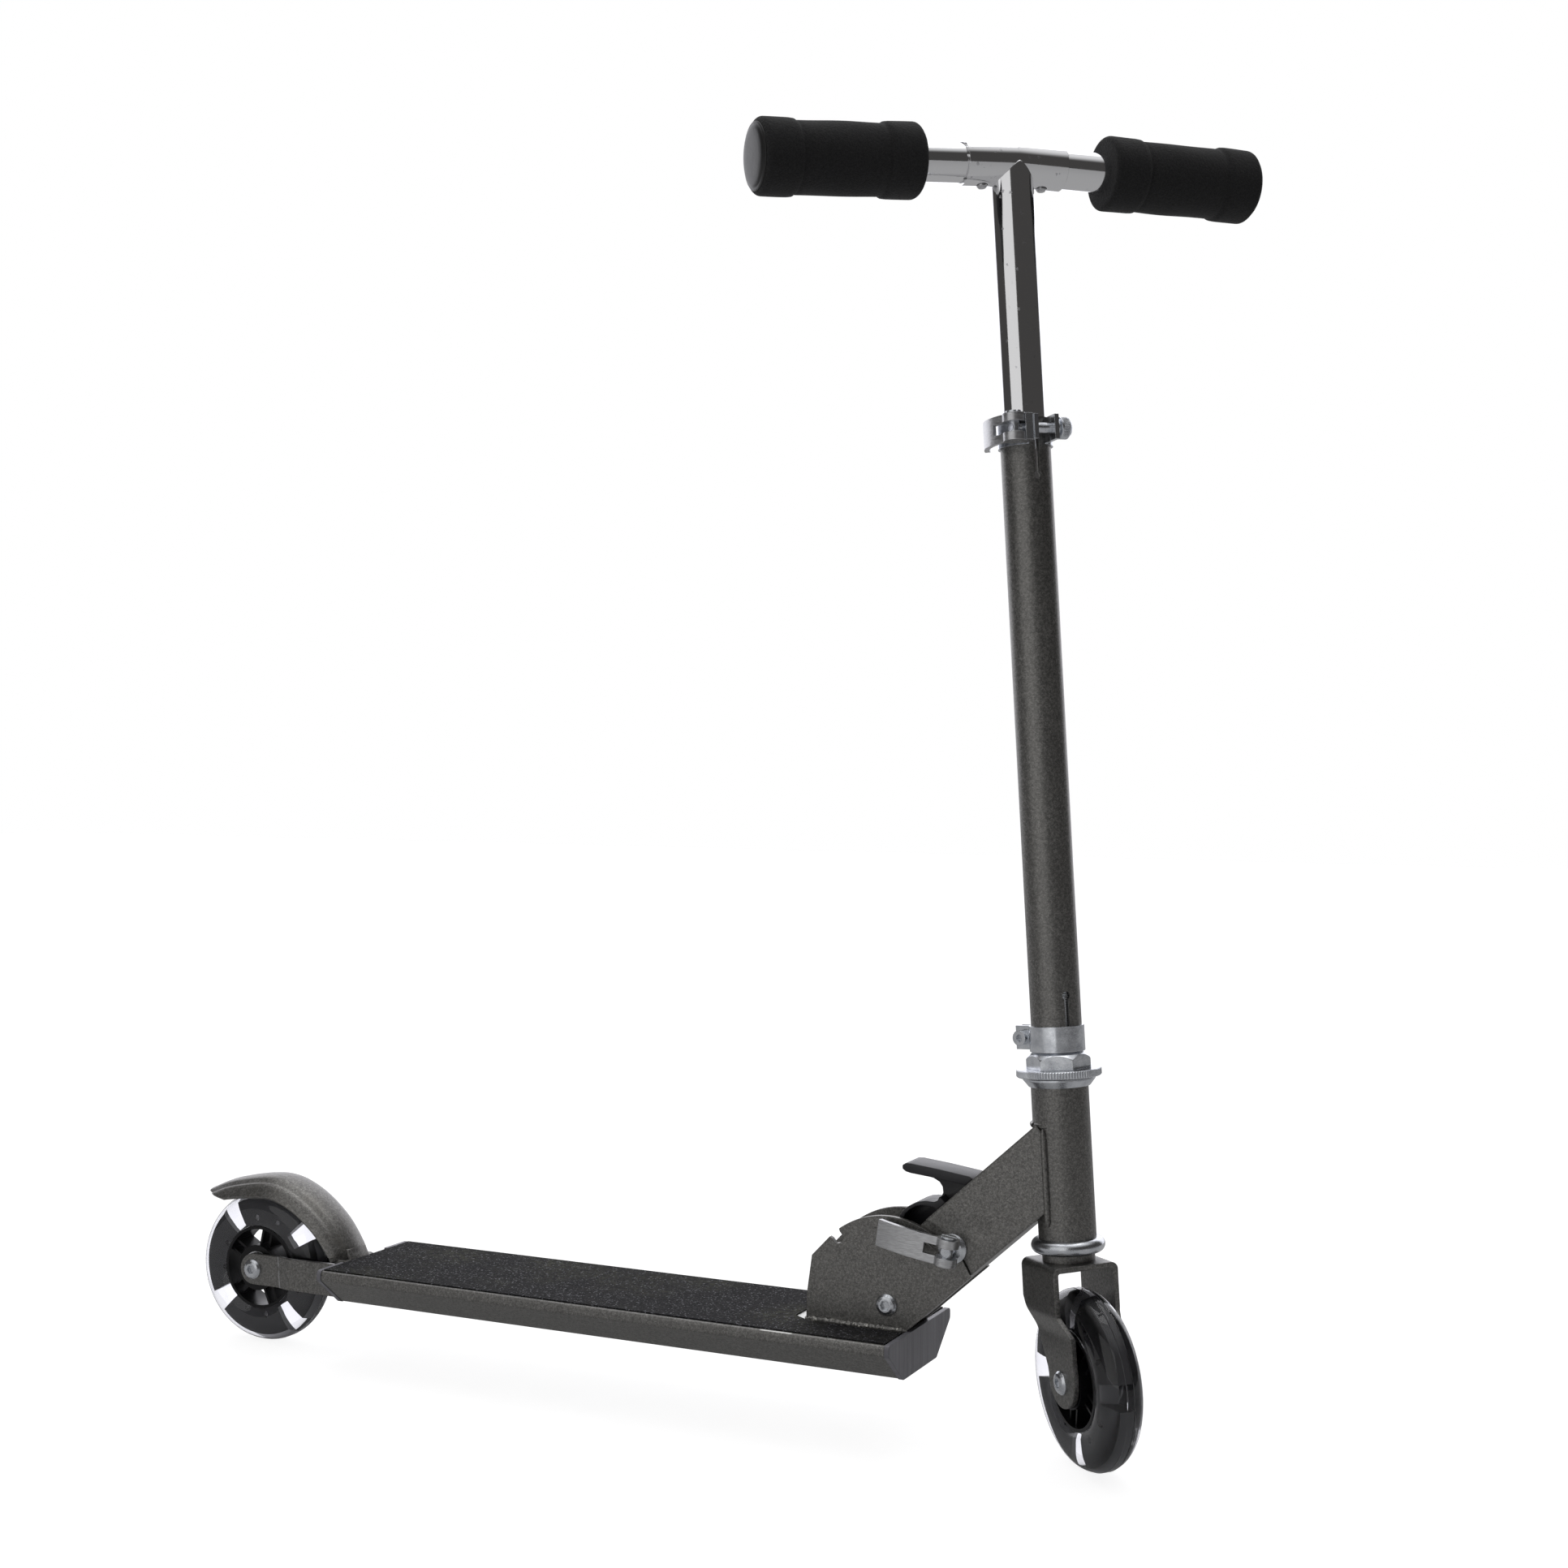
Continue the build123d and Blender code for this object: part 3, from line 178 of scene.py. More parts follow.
room_dark = (0.055, 0.053, 0.052, 1)
room_white = (1.4, 1.4, 1.47, 1)
ceiling = (0.85, 0.85, 0.86, 1)
backdrop = (1.0, 1.0, 1.0, 1)
sky = Surface(bpy.data.worlds.new("studio"))
bpy.context.scene.world = sky.owner
facing = sky.node("ShaderNodeVectorMath", {"operation": "DOT_PRODUCT"},
                  {0: sky.node("ShaderNodeTexCoord", output="Generated"), 1: away}, "Value")
room = sky.blend(room_dark, room_white, facing.ramp(0.50, 0.66))
height = sky.node("ShaderNodeVectorMath", {"operation": "DOT_PRODUCT"},
                  {0: sky.node("ShaderNodeTexCoord", output="Generated"), 1: (0, 0, 1)}, "Value")
room = sky.blend(room, ceiling, height.ramp(0.6, 0.95))
background = sky.tree.nodes["Background"]
sky.plug(background.inputs["Color"], sky.blend(room, backdrop, sky.seen()))

floor_mesh = bpy.data.meshes.new("floor")
floor_half = 9.0
floor_corners = [(x * floor_half, y * floor_half, 0.0) for x, y in ((-1, -1), (1, -1), (1, 1), (-1, 1))]
floor_mesh.from_pydata(floor_corners, [], [(0, 1, 2, 3)])
floor = bpy.data.objects.new("floor", floor_mesh)
bpy.context.scene.collection.objects.link(floor)
floor_paper = surface("floor_paper")
paper_dark = (0.28, 0.28, 0.28, 1)
paper_light = (0.31, 0.31, 0.31, 1)
paper_glow = (0.86, 0.86, 0.86, 1)
paper_glow_mirrored = (0.14, 0.14, 0.14, 1)
paper = floor_paper.grain(40.0).ramp(0.2, 0.8)
direct = floor_paper.seen()
floor_mesh.materials.append(floor_paper.finish(
    Base_Color=floor_paper.blend(paper_dark, paper_light, paper), Roughness=0.9,
    Emission_Color=floor_paper.blend(paper_glow_mirrored, paper_glow, direct), Emission_Strength=1.0))


def softbox(name, place, wide, tall, power):
    light = bpy.data.lights.new(name, "AREA")
    light.shape = "RECTANGLE"
    light.size = wide
    light.size_y = tall
    light.energy = power
    lamp = bpy.data.objects.new(name, light)
    lamp.location = place
    lamp.rotation_euler = (middle - place).to_track_quat("-Z", "Y").to_euler()
    bpy.context.scene.collection.objects.link(lamp)


key_place = middle - away * 1.5 + leftwards * 1.12 + Vector((0, 0, 0.35))
top_place = middle + away * 0.3 + Vector((0, 0, 1.9))
softbox("key", key_place, wide=2.1, tall=2.0, power=8.8)
softbox("top", top_place, wide=1.6, tall=1.6, power=8.5)

# Deck: a bent steel shell, sprayed with a graphite paint that holds fine metal flake.
# The grit sheet stops short of the plates, and the deck's top is given a pale steel colour in a band about
# the plates' back ends.
paint_dark = (0.134, 0.131, 0.125, 1)
paint_light = (0.335, 0.328, 0.312, 1)
pale_steel = (0.62, 0.62, 0.60, 1)


def graphite(name, edge=0.0007):
    """Graphite paint: dark ground, lighter flakes, orange peel and a satin clear coat."""
    coat = surface(name)
    flake = (coat.flakes(1700.0) ** 2.2) * 0.62 + coat.grain(620.0).ramp(0.35, 0.7) * 0.38
    cloud = coat.grain(22.0, 3.0).ramp(0.3, 0.7)
    coat.colour = coat.blend(paint_dark, paint_light, flake * (0.82 + cloud * 0.18))
    coat.rough = 0.38 + flake * 0.08 + cloud * 0.04
    coat.normal = coat.bump(flake + coat.grain(300.0) * 0.6, 0.00003, coat.rounded(edge))
    return coat


def sprayed(coat):
    return coat.finish(Base_Color=coat.colour, Roughness=coat.rough, Normal=coat.normal, Metallic=0.88,
                       Coat_Weight=0.2, Coat_Roughness=0.25)


def wears(node, material):
    """Give a CAD piece its finish."""
    for place in nodes[node].material_slots:
        place.material = material


deck_paint = graphite("deck_paint", 0.0012)
along, sideways, upright = deck_paint.axes()
plate_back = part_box("side_plate_left")[0].x
deck_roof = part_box("deck_shell")[1].z
# Pale band: a lighter steel colour on the deck's top, from 16 mm behind to 6 mm ahead of the plates' back
# ends.
pale_band = along.ramp(plate_back - 0.016, plate_back - 0.014)
pale_band = pale_band * (1 - along.ramp(plate_back + 0.004, plate_back + 0.006))
pale_band = pale_band * upright.ramp(deck_roof - 0.0006, deck_roof - 0.0003)
deck_paint.colour = deck_paint.blend(deck_paint.colour, pale_steel, pale_band)
wears("deck_shell", sprayed(deck_paint))

# Grit sheet: black film with coarse grit, dusty where feet have stood, with painted glints on single grains.
# It is glued down on the deck's top, short of the side plates.
grit_black = (0.006, 0.006, 0.007, 1)
grit_grey = (0.035, 0.034, 0.036, 1)
grit_dust = (0.085, 0.085, 0.055, 1)
grit_glint = (0.13, 0.13, 0.145, 1)
grit = surface("grit_sheet")
grain_size = grit.flakes(1150.0)
dust = grit.grain(16.0, 5.0).ramp(0.42, 0.72) * grit.grain(260.0, 2.0).ramp(0.3, 0.75)
# Painted highlight: a few grains get a lighter colour that stands in for light glinting off the grit.
painted_glint = grit.flakes(1250.0).ramp(0.90, 0.99)
grit_dark = grit.blend(grit_black, grit_grey, grain_size ** 2.0)
grit_worn = grit.blend(grit_dark, grit_dust, dust * 0.55)
wears("grip_tape", grit.finish(
    Base_Color=grit.blend(grit_worn, grit_glint, painted_glint), Roughness=0.95 - painted_glint * 0.35,
    Specular_IOR_Level=0.25, Normal=grit.bump(grain_size + grit.grain(900.0) * 0.8, 0.0005)))

# End caps: moulded in black plastic with faint flow marks, on a grey base colour that is a painted
# reflection.
# Each is pushed into one end of the deck and closes the hollow shell.
# Painted reflection: the black caps get a grey base colour that stands in for the light their faces mirror.
cap_painted_sheen = (0.15, 0.147, 0.165, 1)


def moulded(name, colour, rough, edge, streaks=(1.0, 1.0, 1.0), shine=0.5):
    """Black moulded plastic: fine spark texture, flow marks and handling wear."""
    plastic = surface(name)
    flow = plastic.grain(60.0, 4.0, streaks).ramp(0.3, 0.75)
    fine = plastic.grain(1500.0, 2.0)
    scuff = plastic.grain(210.0, 4.0, (1.0, 3.5, 1.0)).ramp(0.62, 0.8)
    lighter = tuple(min(1.0, part * 2.1) for part in colour[:3]) + (1,)
    return plastic.finish(Base_Color=plastic.blend(colour, lighter, flow * 0.5 + scuff * 0.4),
                          Roughness=rough + fine * 0.12 + scuff * 0.12, Specular_IOR_Level=shine,
                          Normal=plastic.bump(fine * 0.6 + flow, 0.00006, plastic.rounded(edge)))


cap_plastic = moulded("cap_plastic", cap_painted_sheen, 0.36, 0.0008, streaks=(1.0, 4.0, 0.15))
for name in ("deck_cap_front", "deck_cap_rear"):
    wears(name, cap_plastic)

# Side plates: stamped steel, welded to the deck, with two locking notches and a pressed rib.
# The welds are laid along the plates' feet, and are left half bright under thin paint.
plate_paint = graphite("plate_paint", 0.0006)
for side in ("left", "right"):
    wears("side_plate_" + side, sprayed(plate_paint))


def mesh_piece(name, build, material, body, slot, *replaced, crease=35.0, soften=0.0):
    """Turn a bmesh into a piece that rides on a body, with its edges softened and its curves smooth."""
    mesh = bpy.data.meshes.new(name)
    bmesh.ops.recalc_face_normals(build, faces=build.faces)
    build.to_mesh(mesh)
    build.free()
    piece = bpy.data.objects.new(name, mesh)
    bpy.context.scene.collection.objects.link(piece)
    if soften:
        rounding = piece.modifiers.new("soften", "BEVEL")
        rounding.width = soften
        rounding.segments = 3
        rounding.limit_method = "ANGLE"
        rounding.angle_limit = math.radians(crease)
        bpy.context.view_layer.update()
        made = piece.evaluated_get(bpy.context.evaluated_depsgraph_get())
        final = bpy.data.meshes.new_from_object(made)
        piece.modifiers.clear()
        piece.data = final
        bpy.data.meshes.remove(mesh)
        final.name = name
    piece.data.shade_smooth()
    piece.data.set_sharp_from_angle(angle=math.radians(crease))
    piece.data.materials.clear()
    piece.data.materials.append(material)
    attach(piece, body)
    if replaced:
        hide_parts(*replaced)
    return piece


def beads(build, points, radius, seed, lumps=0.3, sides=10):
    """Lay a lumpy rod of weld or a plain rod along points; lumps is how uneven it is."""
    dice = random.Random(seed)
    rings = []
    for index, point in enumerate(points):
        before = points[max(index - 1, 0)]
        after = points[min(index + 1, len(points) - 1)]
        along = (after - before).normalized()
        across = along.orthogonal().normalized()
        upward = along.cross(across)
        ends = min(1.0, 0.35 + 0.65 * min(index, len(points) - 1 - index) / 2)
        swell = radius * ends * (1 + lumps * (0.5 + 0.5 * math.sin(index * 1.9)) * dice.uniform(0.3, 1.0))
        ring = []
        for turn in range(sides):
            angle = 2 * math.pi * turn / sides
            reach = swell * (1 + lumps * dice.uniform(-0.25, 0.25))
            around = across * math.cos(angle) + upward * math.sin(angle)
            ring.append(build.verts.new(point + around * reach))
        rings.append(ring)
    for first, second in zip(rings, rings[1:]):
        for turn in range(sides):
            build.faces.new((first[turn], first[turn - 1], second[turn - 1], second[turn]))
    build.faces.new(rings[0])
    build.faces.new(rings[-1])


def straight(start, end, count):
    return [start.lerp(end, index / (count - 1)) for index in range(count)]


weld_gleam = (0.55, 0.54, 0.50, 1)
weld_paint = graphite("weld_paint", 0.0003)
spatter = weld_paint.flakes(900.0).ramp(0.55, 0.95) * weld_paint.grain(420.0, 3.0).ramp(0.42, 0.6)
weld_paint.colour = weld_paint.blend(weld_paint.colour, weld_gleam, spatter)
weld_paint.rough = weld_paint.rough - spatter * 0.16
weld_paint.normal = weld_paint.bump(weld_paint.grain(700.0, 4.0), 0.0005)
weld = sprayed(weld_paint)
foot_weld = 0.0016
foot_length = 0.0635
end_weld = 0.0011
for side, way in (("left", 1), ("right", -1)):
    low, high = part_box("side_plate_" + side)
    outer = high.y if way > 0 else low.y
    inner = low.y if way > 0 else high.y
    beside = outer + way * 0.0006
    behind = low.x - 0.0004
    foot_line = straight(Vector((low.x + 0.001, beside, deck_roof + 0.0010)),
                         Vector((plate_back + foot_length, beside, deck_roof + 0.0010)), 58)
    end_line = straight(Vector((behind, outer, deck_roof + 0.0008)),
                        Vector((behind, inner, deck_roof + 0.0008)), 6)
    foot = bmesh.new()
    beads(foot, foot_line, foot_weld, seed=11, lumps=0.55)
    beads(foot, end_line, end_weld, seed=12, lumps=0.5)
    mesh_piece("plate_weld_" + side, foot, weld, "deck", "graphite_paint", crease=60.0)

# Plate ribs: each plate has one rib pressed out just inside its round top, about the fold pivot.
# The rib is part of the stamping and wears the same paint.
pivot = Vector(joints["fold"]["pos_m"])
rib_radius = 0.0447
rib_thick = 0.00075
rib_start = math.radians(104.0)
rib_end = math.radians(50.0)
rib_sunk = 0.00035
rib_steps = 27
for side, way in (("left", 1), ("right", -1)):
    low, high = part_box("side_plate_" + side)
    outer = high.y if way > 0 else low.y
    arc = []
    for index in range(rib_steps + 1):
        angle = rib_start + (rib_end - rib_start) * index / rib_steps
        arc.append(Vector((pivot.x + rib_radius * math.cos(angle), outer - way * rib_sunk,
                           pivot.z + rib_radius * math.sin(angle))))
    rib = bmesh.new()
    beads(rib, arc, rib_thick, seed=5, lumps=0.0, sides=12)
    mesh_piece("plate_rib_" + side, rib, sprayed(graphite("rib_paint_" + side)), "deck", "graphite_paint")

# Rear arms: flat steel bars bent outwards, with a painted highlight as a pale broken line along the bend.
# They come out beside the rear cap and hold the axle between them.
bend_highlight_grey = (0.42, 0.42, 0.43, 1)
arm_paint = graphite("arm_paint", 0.0007)
along, sideways, upright = arm_paint.axes()
bend_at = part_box("rear_axle")[1].x + 0.0150
wander = arm_paint.grain(110.0, 3.0) * 0.003
line = along + wander - 0.0015 + (upright - 0.05) * 0.09
# Painted highlight: a broken pale line along the bend stands in for light caught where the bar turns.
painted_bend_highlight = line.ramp(bend_at - 0.0008, bend_at - 0.0003)
painted_bend_highlight = painted_bend_highlight * (1 - line.ramp(bend_at + 0.0002, bend_at + 0.0007))
painted_bend_highlight = painted_bend_highlight * arm_paint.grain(300.0, 3.0).ramp(0.3, 0.5)
arm_paint.colour = arm_paint.blend(arm_paint.colour, bend_highlight_grey, painted_bend_highlight)
for side in ("left", "right"):
    wears("rear_arm_" + side, sprayed(arm_paint))

# Screws, pins, washers, cups and clamps: steel, barrelled and bright zinc plated, slightly blue.
# The barrel leaves the plate cloudy and lightly nicked, and turned parts keep their tool marks.
zinc_light = (0.74, 0.76, 0.79, 1)
zinc_dark = (0.46, 0.48, 0.52, 1)


def zinc(name, rough=0.20, edge=0.0005, turned=False):
    """Zinc plate: cloudy passivation, fine pits and small bright nicks."""
    plate = surface(name)
    cloud = plate.grain(170.0, 4.0).ramp(0.3, 0.75)
    pits = plate.flakes(1300.0)
    marks = plate.grain(500.0, 2.0, (1.0, 1.0, 9.0) if turned else (1.0, 1.0, 1.0))
    return plate.finish(Base_Color=plate.blend(zinc_light, zinc_dark, cloud * 0.55 + pits * 0.15),
                        Metallic=1.0, Roughness=rough + cloud * 0.10 + pits * 0.03,
                        Normal=plate.bump(marks + pits * 0.3, 0.00002, plate.rounded(edge)))


plated = zinc("zinc_hardware")
for name in ("pivot_screw", "brake_pin", "rear_axle", "rear_axle_washers", "front_axle", "front_axle_washers",
             "lock_skewer", "lock_washers", "lock_nut", "lock_lever_pin", "clamp_screw", "collar_bolt",
             "collar_nut", "collar_lever_pin", "collar_saddle"):
    wears(name, plated)
turned_zinc = zinc("zinc_turned", 0.17, 0.0006, True)
for name in ("head_cup_lower", "head_cup_upper", "race_disc", "headset_nut", "steerer_tube"):
    wears(name, turned_zinc)
band_zinc = zinc("zinc_bands", 0.12, 0.0003)
for name in ("column_clamp", "collar_band"):
    wears(name, band_zinc)
spring_steel = zinc("spring_wire", 0.25, 0.0001)
wears("brake_spring", spring_steel)

# Bearings: ground steel rings, two to a wheel with a spacer tube between them.
# The head turns on two rings of loose balls.
ground = surface("ground_steel")
ring_marks = ground.grain(700.0, 3.0, (1.0, 6.0, 1.0))
ring_dark = (0.50, 0.50, 0.52, 1)
ring_light = (0.68, 0.68, 0.70, 1)
ground_steel = ground.finish(Base_Color=ground.blend(ring_dark, ring_light, ring_marks), Metallic=1.0,
                             Roughness=0.16 + ring_marks * 0.12,
                             Normal=ground.bump(ring_marks, 0.00003, ground.rounded(0.0003)))
for name in ("rear_wheel_bearings", "front_wheel_bearings", "rear_bearing_spacer", "front_bearing_spacer",
             "lower_balls", "upper_balls"):
    wears(name, ground_steel)

# Wheel cores: black nylon, glossy where the mould was polished.
# Each is moulded in one piece, with windows in its disc, and holds its bearings by a tight fit.
core_black = (0.003, 0.003, 0.0035, 1)
core_plastic = moulded("core_nylon", core_black, 0.26, 0.0004, shine=0.3)
for which in ("rear", "front"):
    wears(which + "_wheel_core", core_plastic)

# Tyres: clear polyurethane cast round the cores, with two fine seams round the tread.
# The clear rubber has a faint violet cast and shows the core's windows as light.
urethane_clear = (0.93, 0.93, 0.985, 1)
urethane_hazy = (0.85, 0.85, 0.93, 1)
urethane = surface("clear_urethane")
haze = urethane.grain(90.0, 4.0).ramp(0.35, 0.8)
clear = urethane.finish(Base_Color=urethane.blend(urethane_clear, urethane_hazy, haze),
                        Roughness=0.018 + haze * 0.035, Transmission_Weight=1.0, IOR=1.46,
                        Normal=urethane.bump(urethane.grain(60.0, 2.0), 0.00008))
tread_radius = 0.050
tread_half = 0.012
tyre_inner = 0.0276
tyre_face = 0.0098
seam_at = 0.0022
seam_proud = 0.00018
seam_half = 0.0003
side_from = 0.0072
side_to = 0.003
side_dish = 0.0003
tyre_steps = 160
tread_steps = 32


def turned(build, outline, frame_at, steps, closed=False):
    """Spin an outline of (radius, height) about the upright of a frame."""
    rings = []
    for step in range(steps):
        angle = 2 * math.pi * step / steps
        rings.append([build.verts.new(frame_at @ Vector((r * math.cos(angle), r * math.sin(angle), h)))
                      for r, h in outline])
    count = len(outline)
    last = count if closed else count - 1
    for step in range(steps):
        this, following = rings[step], rings[(step + 1) % steps]
        for index in range(last):
            second = (index + 1) % count
            build.faces.new((this[index], following[index], following[second], this[second]))


def upright_frame(origin, up, forward=None):
    """Frame with its upright along up and, where given, its first axis near forward."""
    up = Vector(up).normalized()
    first = Vector(forward) if forward is not None else up.orthogonal()
    first = (first - up * first.dot(up)).normalized()
    second = up.cross(first)
    basis = Matrix((first, second, up)).transposed().to_4x4()
    return Matrix.Translation(Vector(origin)) @ basis


def tyre_outline():
    """Flat-sided tyre with a full round tread; the seams are two low ridges."""
    points = [(tyre_inner, -tyre_face)]
    flat_end = tread_radius - tread_half
    points += [(flat_end - side_from, -tread_half + side_dish), (flat_end - side_to, -tread_half)]
    for step in range(tread_steps + 1):
        angle = -math.pi / 2 + math.pi * step / tread_steps
        points.append((flat_end + tread_half * math.cos(angle), tread_half * math.sin(angle)))
    for way in (-1, 1):
        for offset, proud in ((-seam_half, 0.0), (0.0, seam_proud), (seam_half, 0.0)):
            h = way * seam_at + offset
            points.append((flat_end + math.sqrt(tread_half ** 2 - h ** 2) + proud, h))
    round_part = sorted(points[3:], key=lambda point: point[1])
    points = points[:3] + round_part
    points += [(flat_end - side_to, tread_half), (flat_end - side_from, tread_half - side_dish)]
    points.append((tyre_inner, tyre_face))
    return points


for which in ("rear", "front"):
    spin = joints[which + "_wheel_spin"]
    tyre = bmesh.new()
    turned(tyre, tyre_outline(), upright_frame(spin["pos_m"], spin["axis"]), tyre_steps, closed=True)
    mesh_piece(which + "_clear_tyre", tyre, clear, which + "_wheel", "clear_urethane", which + "_tyre",
               crease=50.0)

# Rear brake: a pressed steel fender, crowned along its top, stepped at each side and flared to a skirt.
# It is spot-welded to a bracket that hangs on a pin between the arms.
fender_line = [(131.0, 0.0156), (112.8, 0.0118), (86.3, 0.0123), (70.1, 0.0147), (51.1, 0.0168),
               (32.0, 0.0208), (16.6, 0.0251)]
fender_half = 0.0195
crown_half = 0.0112
skirt_drop = 0.0128
step_down = 0.0040
sheet = 0.0018
fender_steps = 56
axle_point = Vector(joints["rear_wheel_spin"]["pos_m"])


def smooth_line(points, per_span):
    """Catmull-Rom line through the points given."""
    ends = [points[0] * 2 - points[1]] + points + [points[-1] * 2 - points[-2]]
    line = []
    for index in range(1, len(ends) - 2):
        a, b, c, d = ends[index - 1:index + 3]
        for step in range(per_span):
            t = step / per_span
            line.append((b * 2 + (c - a) * t + (a * 2 - b * 5 + c * 4 - d) * t * t
                         + (b * 3 - a - c * 3 + d) * t ** 3) * 0.5)
    line.append(points[-1])
    return line


def fender_section(t):
    """Half outline from crown to skirt, (sideways, down, ahead), at t from the tail to the root."""
    tail = min(1.0, t * 6)
    drop = skirt_drop * (1 - 0.34 * t ** 3) * (0.82 + 0.18 * tail)
    trim = 0.16 * (1 - t) ** 2
    flat = [(0.0, 0.0), (0.35 * crown_half, 0.0002), (0.70 * crown_half, 0.0008), (crown_half, 0.0019),
            (crown_half + 0.0013, step_down), (crown_half + 0.0026, step_down + 0.0005),
            (crown_half + 0.0040, step_down + 0.0010),
            (crown_half + 0.0056, step_down + (drop - step_down) * 0.45), (fender_half, drop)]
    return [(s, d, trim * (d / skirt_drop) ** 1.5) for s, d in flat]


def on_crown(t):
    """Point of the crown's line, and the way towards the tyre, at t from the tail to the root."""
    along = min(max(t, 0.0), 1.0) * (len(crown_line) - 1)
    index = min(int(along), len(crown_line) - 2)
    point = crown_line[index].lerp(crown_line[index + 1], along - index)
    ahead = crown_line[min(index + 2, len(crown_line) - 1)] - crown_line[max(index - 1, 0)]
    inward = Vector((-ahead.z, 0, ahead.x)).normalized()
    return point, -inward if inward.dot(axle_point - point) < 0 else inward


crown_points = []
for degrees, over in fender_line:
    angle = math.radians(degrees)
    crown_points.append(axle_point + Vector((math.cos(angle), 0, math.sin(angle))) * (tread_radius + over))
crown_points.append(Vector((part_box("deck_cap_rear")[0].x - 0.0034, 0, deck_roof)))
crown_line = smooth_line(crown_points, 7)
fender = bmesh.new()
shells = []
for layer in (0.0, sheet):
    rows = []
    for index in range(fender_steps + 1):
        t = index / fender_steps
        half = fender_section(t)
        row = []
        for sideways, down, ahead in [(-s, d, a) for s, d, a in reversed(half[1:])] + half:
            point, inward = on_crown(t + ahead)
            aside = Vector((0, sideways * (1 - layer / fender_half), 0))
            row.append(fender.verts.new(point + inward * (down + layer) + aside))
        rows.append(row)
    shells.append(rows)
for rows in shells:
    for first, second in zip(rows, rows[1:]):
        for a, b, c, d in zip(first, first[1:], second[1:], second):
            fender.faces.new((a, b, c, d))
outer_rows, inner_rows = shells
for side_index in (0, -1):
    for a, b, c, d in zip(outer_rows, outer_rows[1:], inner_rows[1:], inner_rows):
        fender.faces.new((a[side_index], b[side_index], c[side_index], d[side_index]))
for end_index in (0, -1):
    outer_row, inner_row = outer_rows[end_index], inner_rows[end_index]
    for a, b, c, d in zip(outer_row, outer_row[1:], inner_row[1:], inner_row):
        fender.faces.new((a, b, c, d))


def slab(build, outline, start, thick, place):
    """Flat plate: outline of (x, z) points, from start along Y, put in a frame."""
    near = [build.verts.new(place @ Vector((x, start, z))) for x, z in outline]
    far = [build.verts.new(place @ Vector((x, start + thick, z))) for x, z in outline]
    build.faces.new(near)
    build.faces.new(list(reversed(far)))
    for index in range(len(outline)):
        second = (index + 1) % len(outline)
        build.faces.new((near[index], far[index], far[second], near[second]))


pin_at = Vector(joints["brake_press"]["pos_m"])
bracket_half = 0.0154
bracket_neck_half = 0.0095
ear_thick = 0.003
bracket = Matrix.Translation(pin_at)
tongue = [(0.0060, 0.010), (0.0094, 0.009), (0.0094, -0.004), (0.0070, -0.004), (0.0070, 0.007)]
neck_piece = [(0.0040, 0.016), (0.0058, 0.016), (0.0092, 0.009), (0.0070, 0.006)]
ear = [(0.0060, 0.010), (0.0094, 0.009), (0.0094, -0.005), (-0.005, -0.005), (-0.005, 0.005), (0.002, 0.010)]
slab(fender, tongue, -bracket_half, 2 * bracket_half, bracket)
slab(fender, neck_piece, -bracket_neck_half, 2 * bracket_neck_half, bracket)
for start in (-bracket_half, bracket_half - ear_thick):
    slab(fender, ear, start, ear_thick, bracket)
fender_rubbed = (0.155, 0.145, 0.128, 1)
fender_paint = graphite("fender_paint", 0.0004)
worn = fender_paint.grain(45.0, 4.0, (1.0, 2.0, 1.0)).ramp(0.45, 0.8)
fender_paint.colour = fender_paint.blend(fender_paint.colour, fender_rubbed, worn * 0.5)
mesh_piece("fender_pressing", fender, sprayed(fender_paint), "brake", "graphite_paint", "fender_brake",
           crease=48.0, soften=0.0004)

# Neck: welded box tube, dished by the press beside the lock's slot, and painted with the frame.
# It turns on the pivot screw between the side plates and ends against the head tube.
neck_paint = graphite("neck_paint", 0.0022)
pin_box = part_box("lock_skewer")
slot_place = Vector(((pin_box[0].x + pin_box[1].x) / 2, 0, (pin_box[0].z + pin_box[1].z) / 2))
neck_way = (slot_place - pivot).normalized()
neck_up = Vector((-neck_way.z, 0, neck_way.x))


def dimple(coat, centre, radius):
    """Soft round mask about a point, the same through the whole tube."""
    ahead, _, above = coat.axes()
    away_x = (ahead - centre.x) ** 2.0
    away_z = (above - centre.z) ** 2.0
    return 1 - ((away_x + away_z) ** 0.5).ramp(0.0, radius)


dents = (dimple(neck_paint, slot_place + neck_way * 0.006 + neck_up * 0.0105, 0.011)
         + dimple(neck_paint, slot_place + neck_way * 0.020 - neck_up * 0.001, 0.010))
neck_paint.normal = neck_paint.bump(1 - dents * 0.5, 0.0016, neck_paint.normal)
wears("neck_tube", sprayed(neck_paint))
head_paint = graphite("head_paint", 0.0004)
wears("head_tube", sprayed(head_paint))

# Neck weld: one smooth bead down each side of the head tube and over the top of the neck.
# It is laid in one pass and sprayed with the frame.
head_axis = Vector(joints["steer"]["axis"])
head_foot = Vector(joints["steer"]["pos_m"])
head_low, head_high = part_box("head_tube")
head_radius = (head_high.y - head_low.y) / 2
neck_low, neck_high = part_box("neck_tube")
neck_half = (neck_high.y - neck_low.y) / 2
head_ahead = Vector((head_axis.z, 0, -head_axis.x))
joint_weld = 0.0016
joint_back = math.sqrt(head_radius ** 2 - (neck_half - 0.0006) ** 2)


def on_head(along, back, sideways):
    """Point at a height along the head tube, behind its middle and off to one side."""
    return head_foot + head_axis * along - head_ahead * back + Vector((0, sideways, 0))


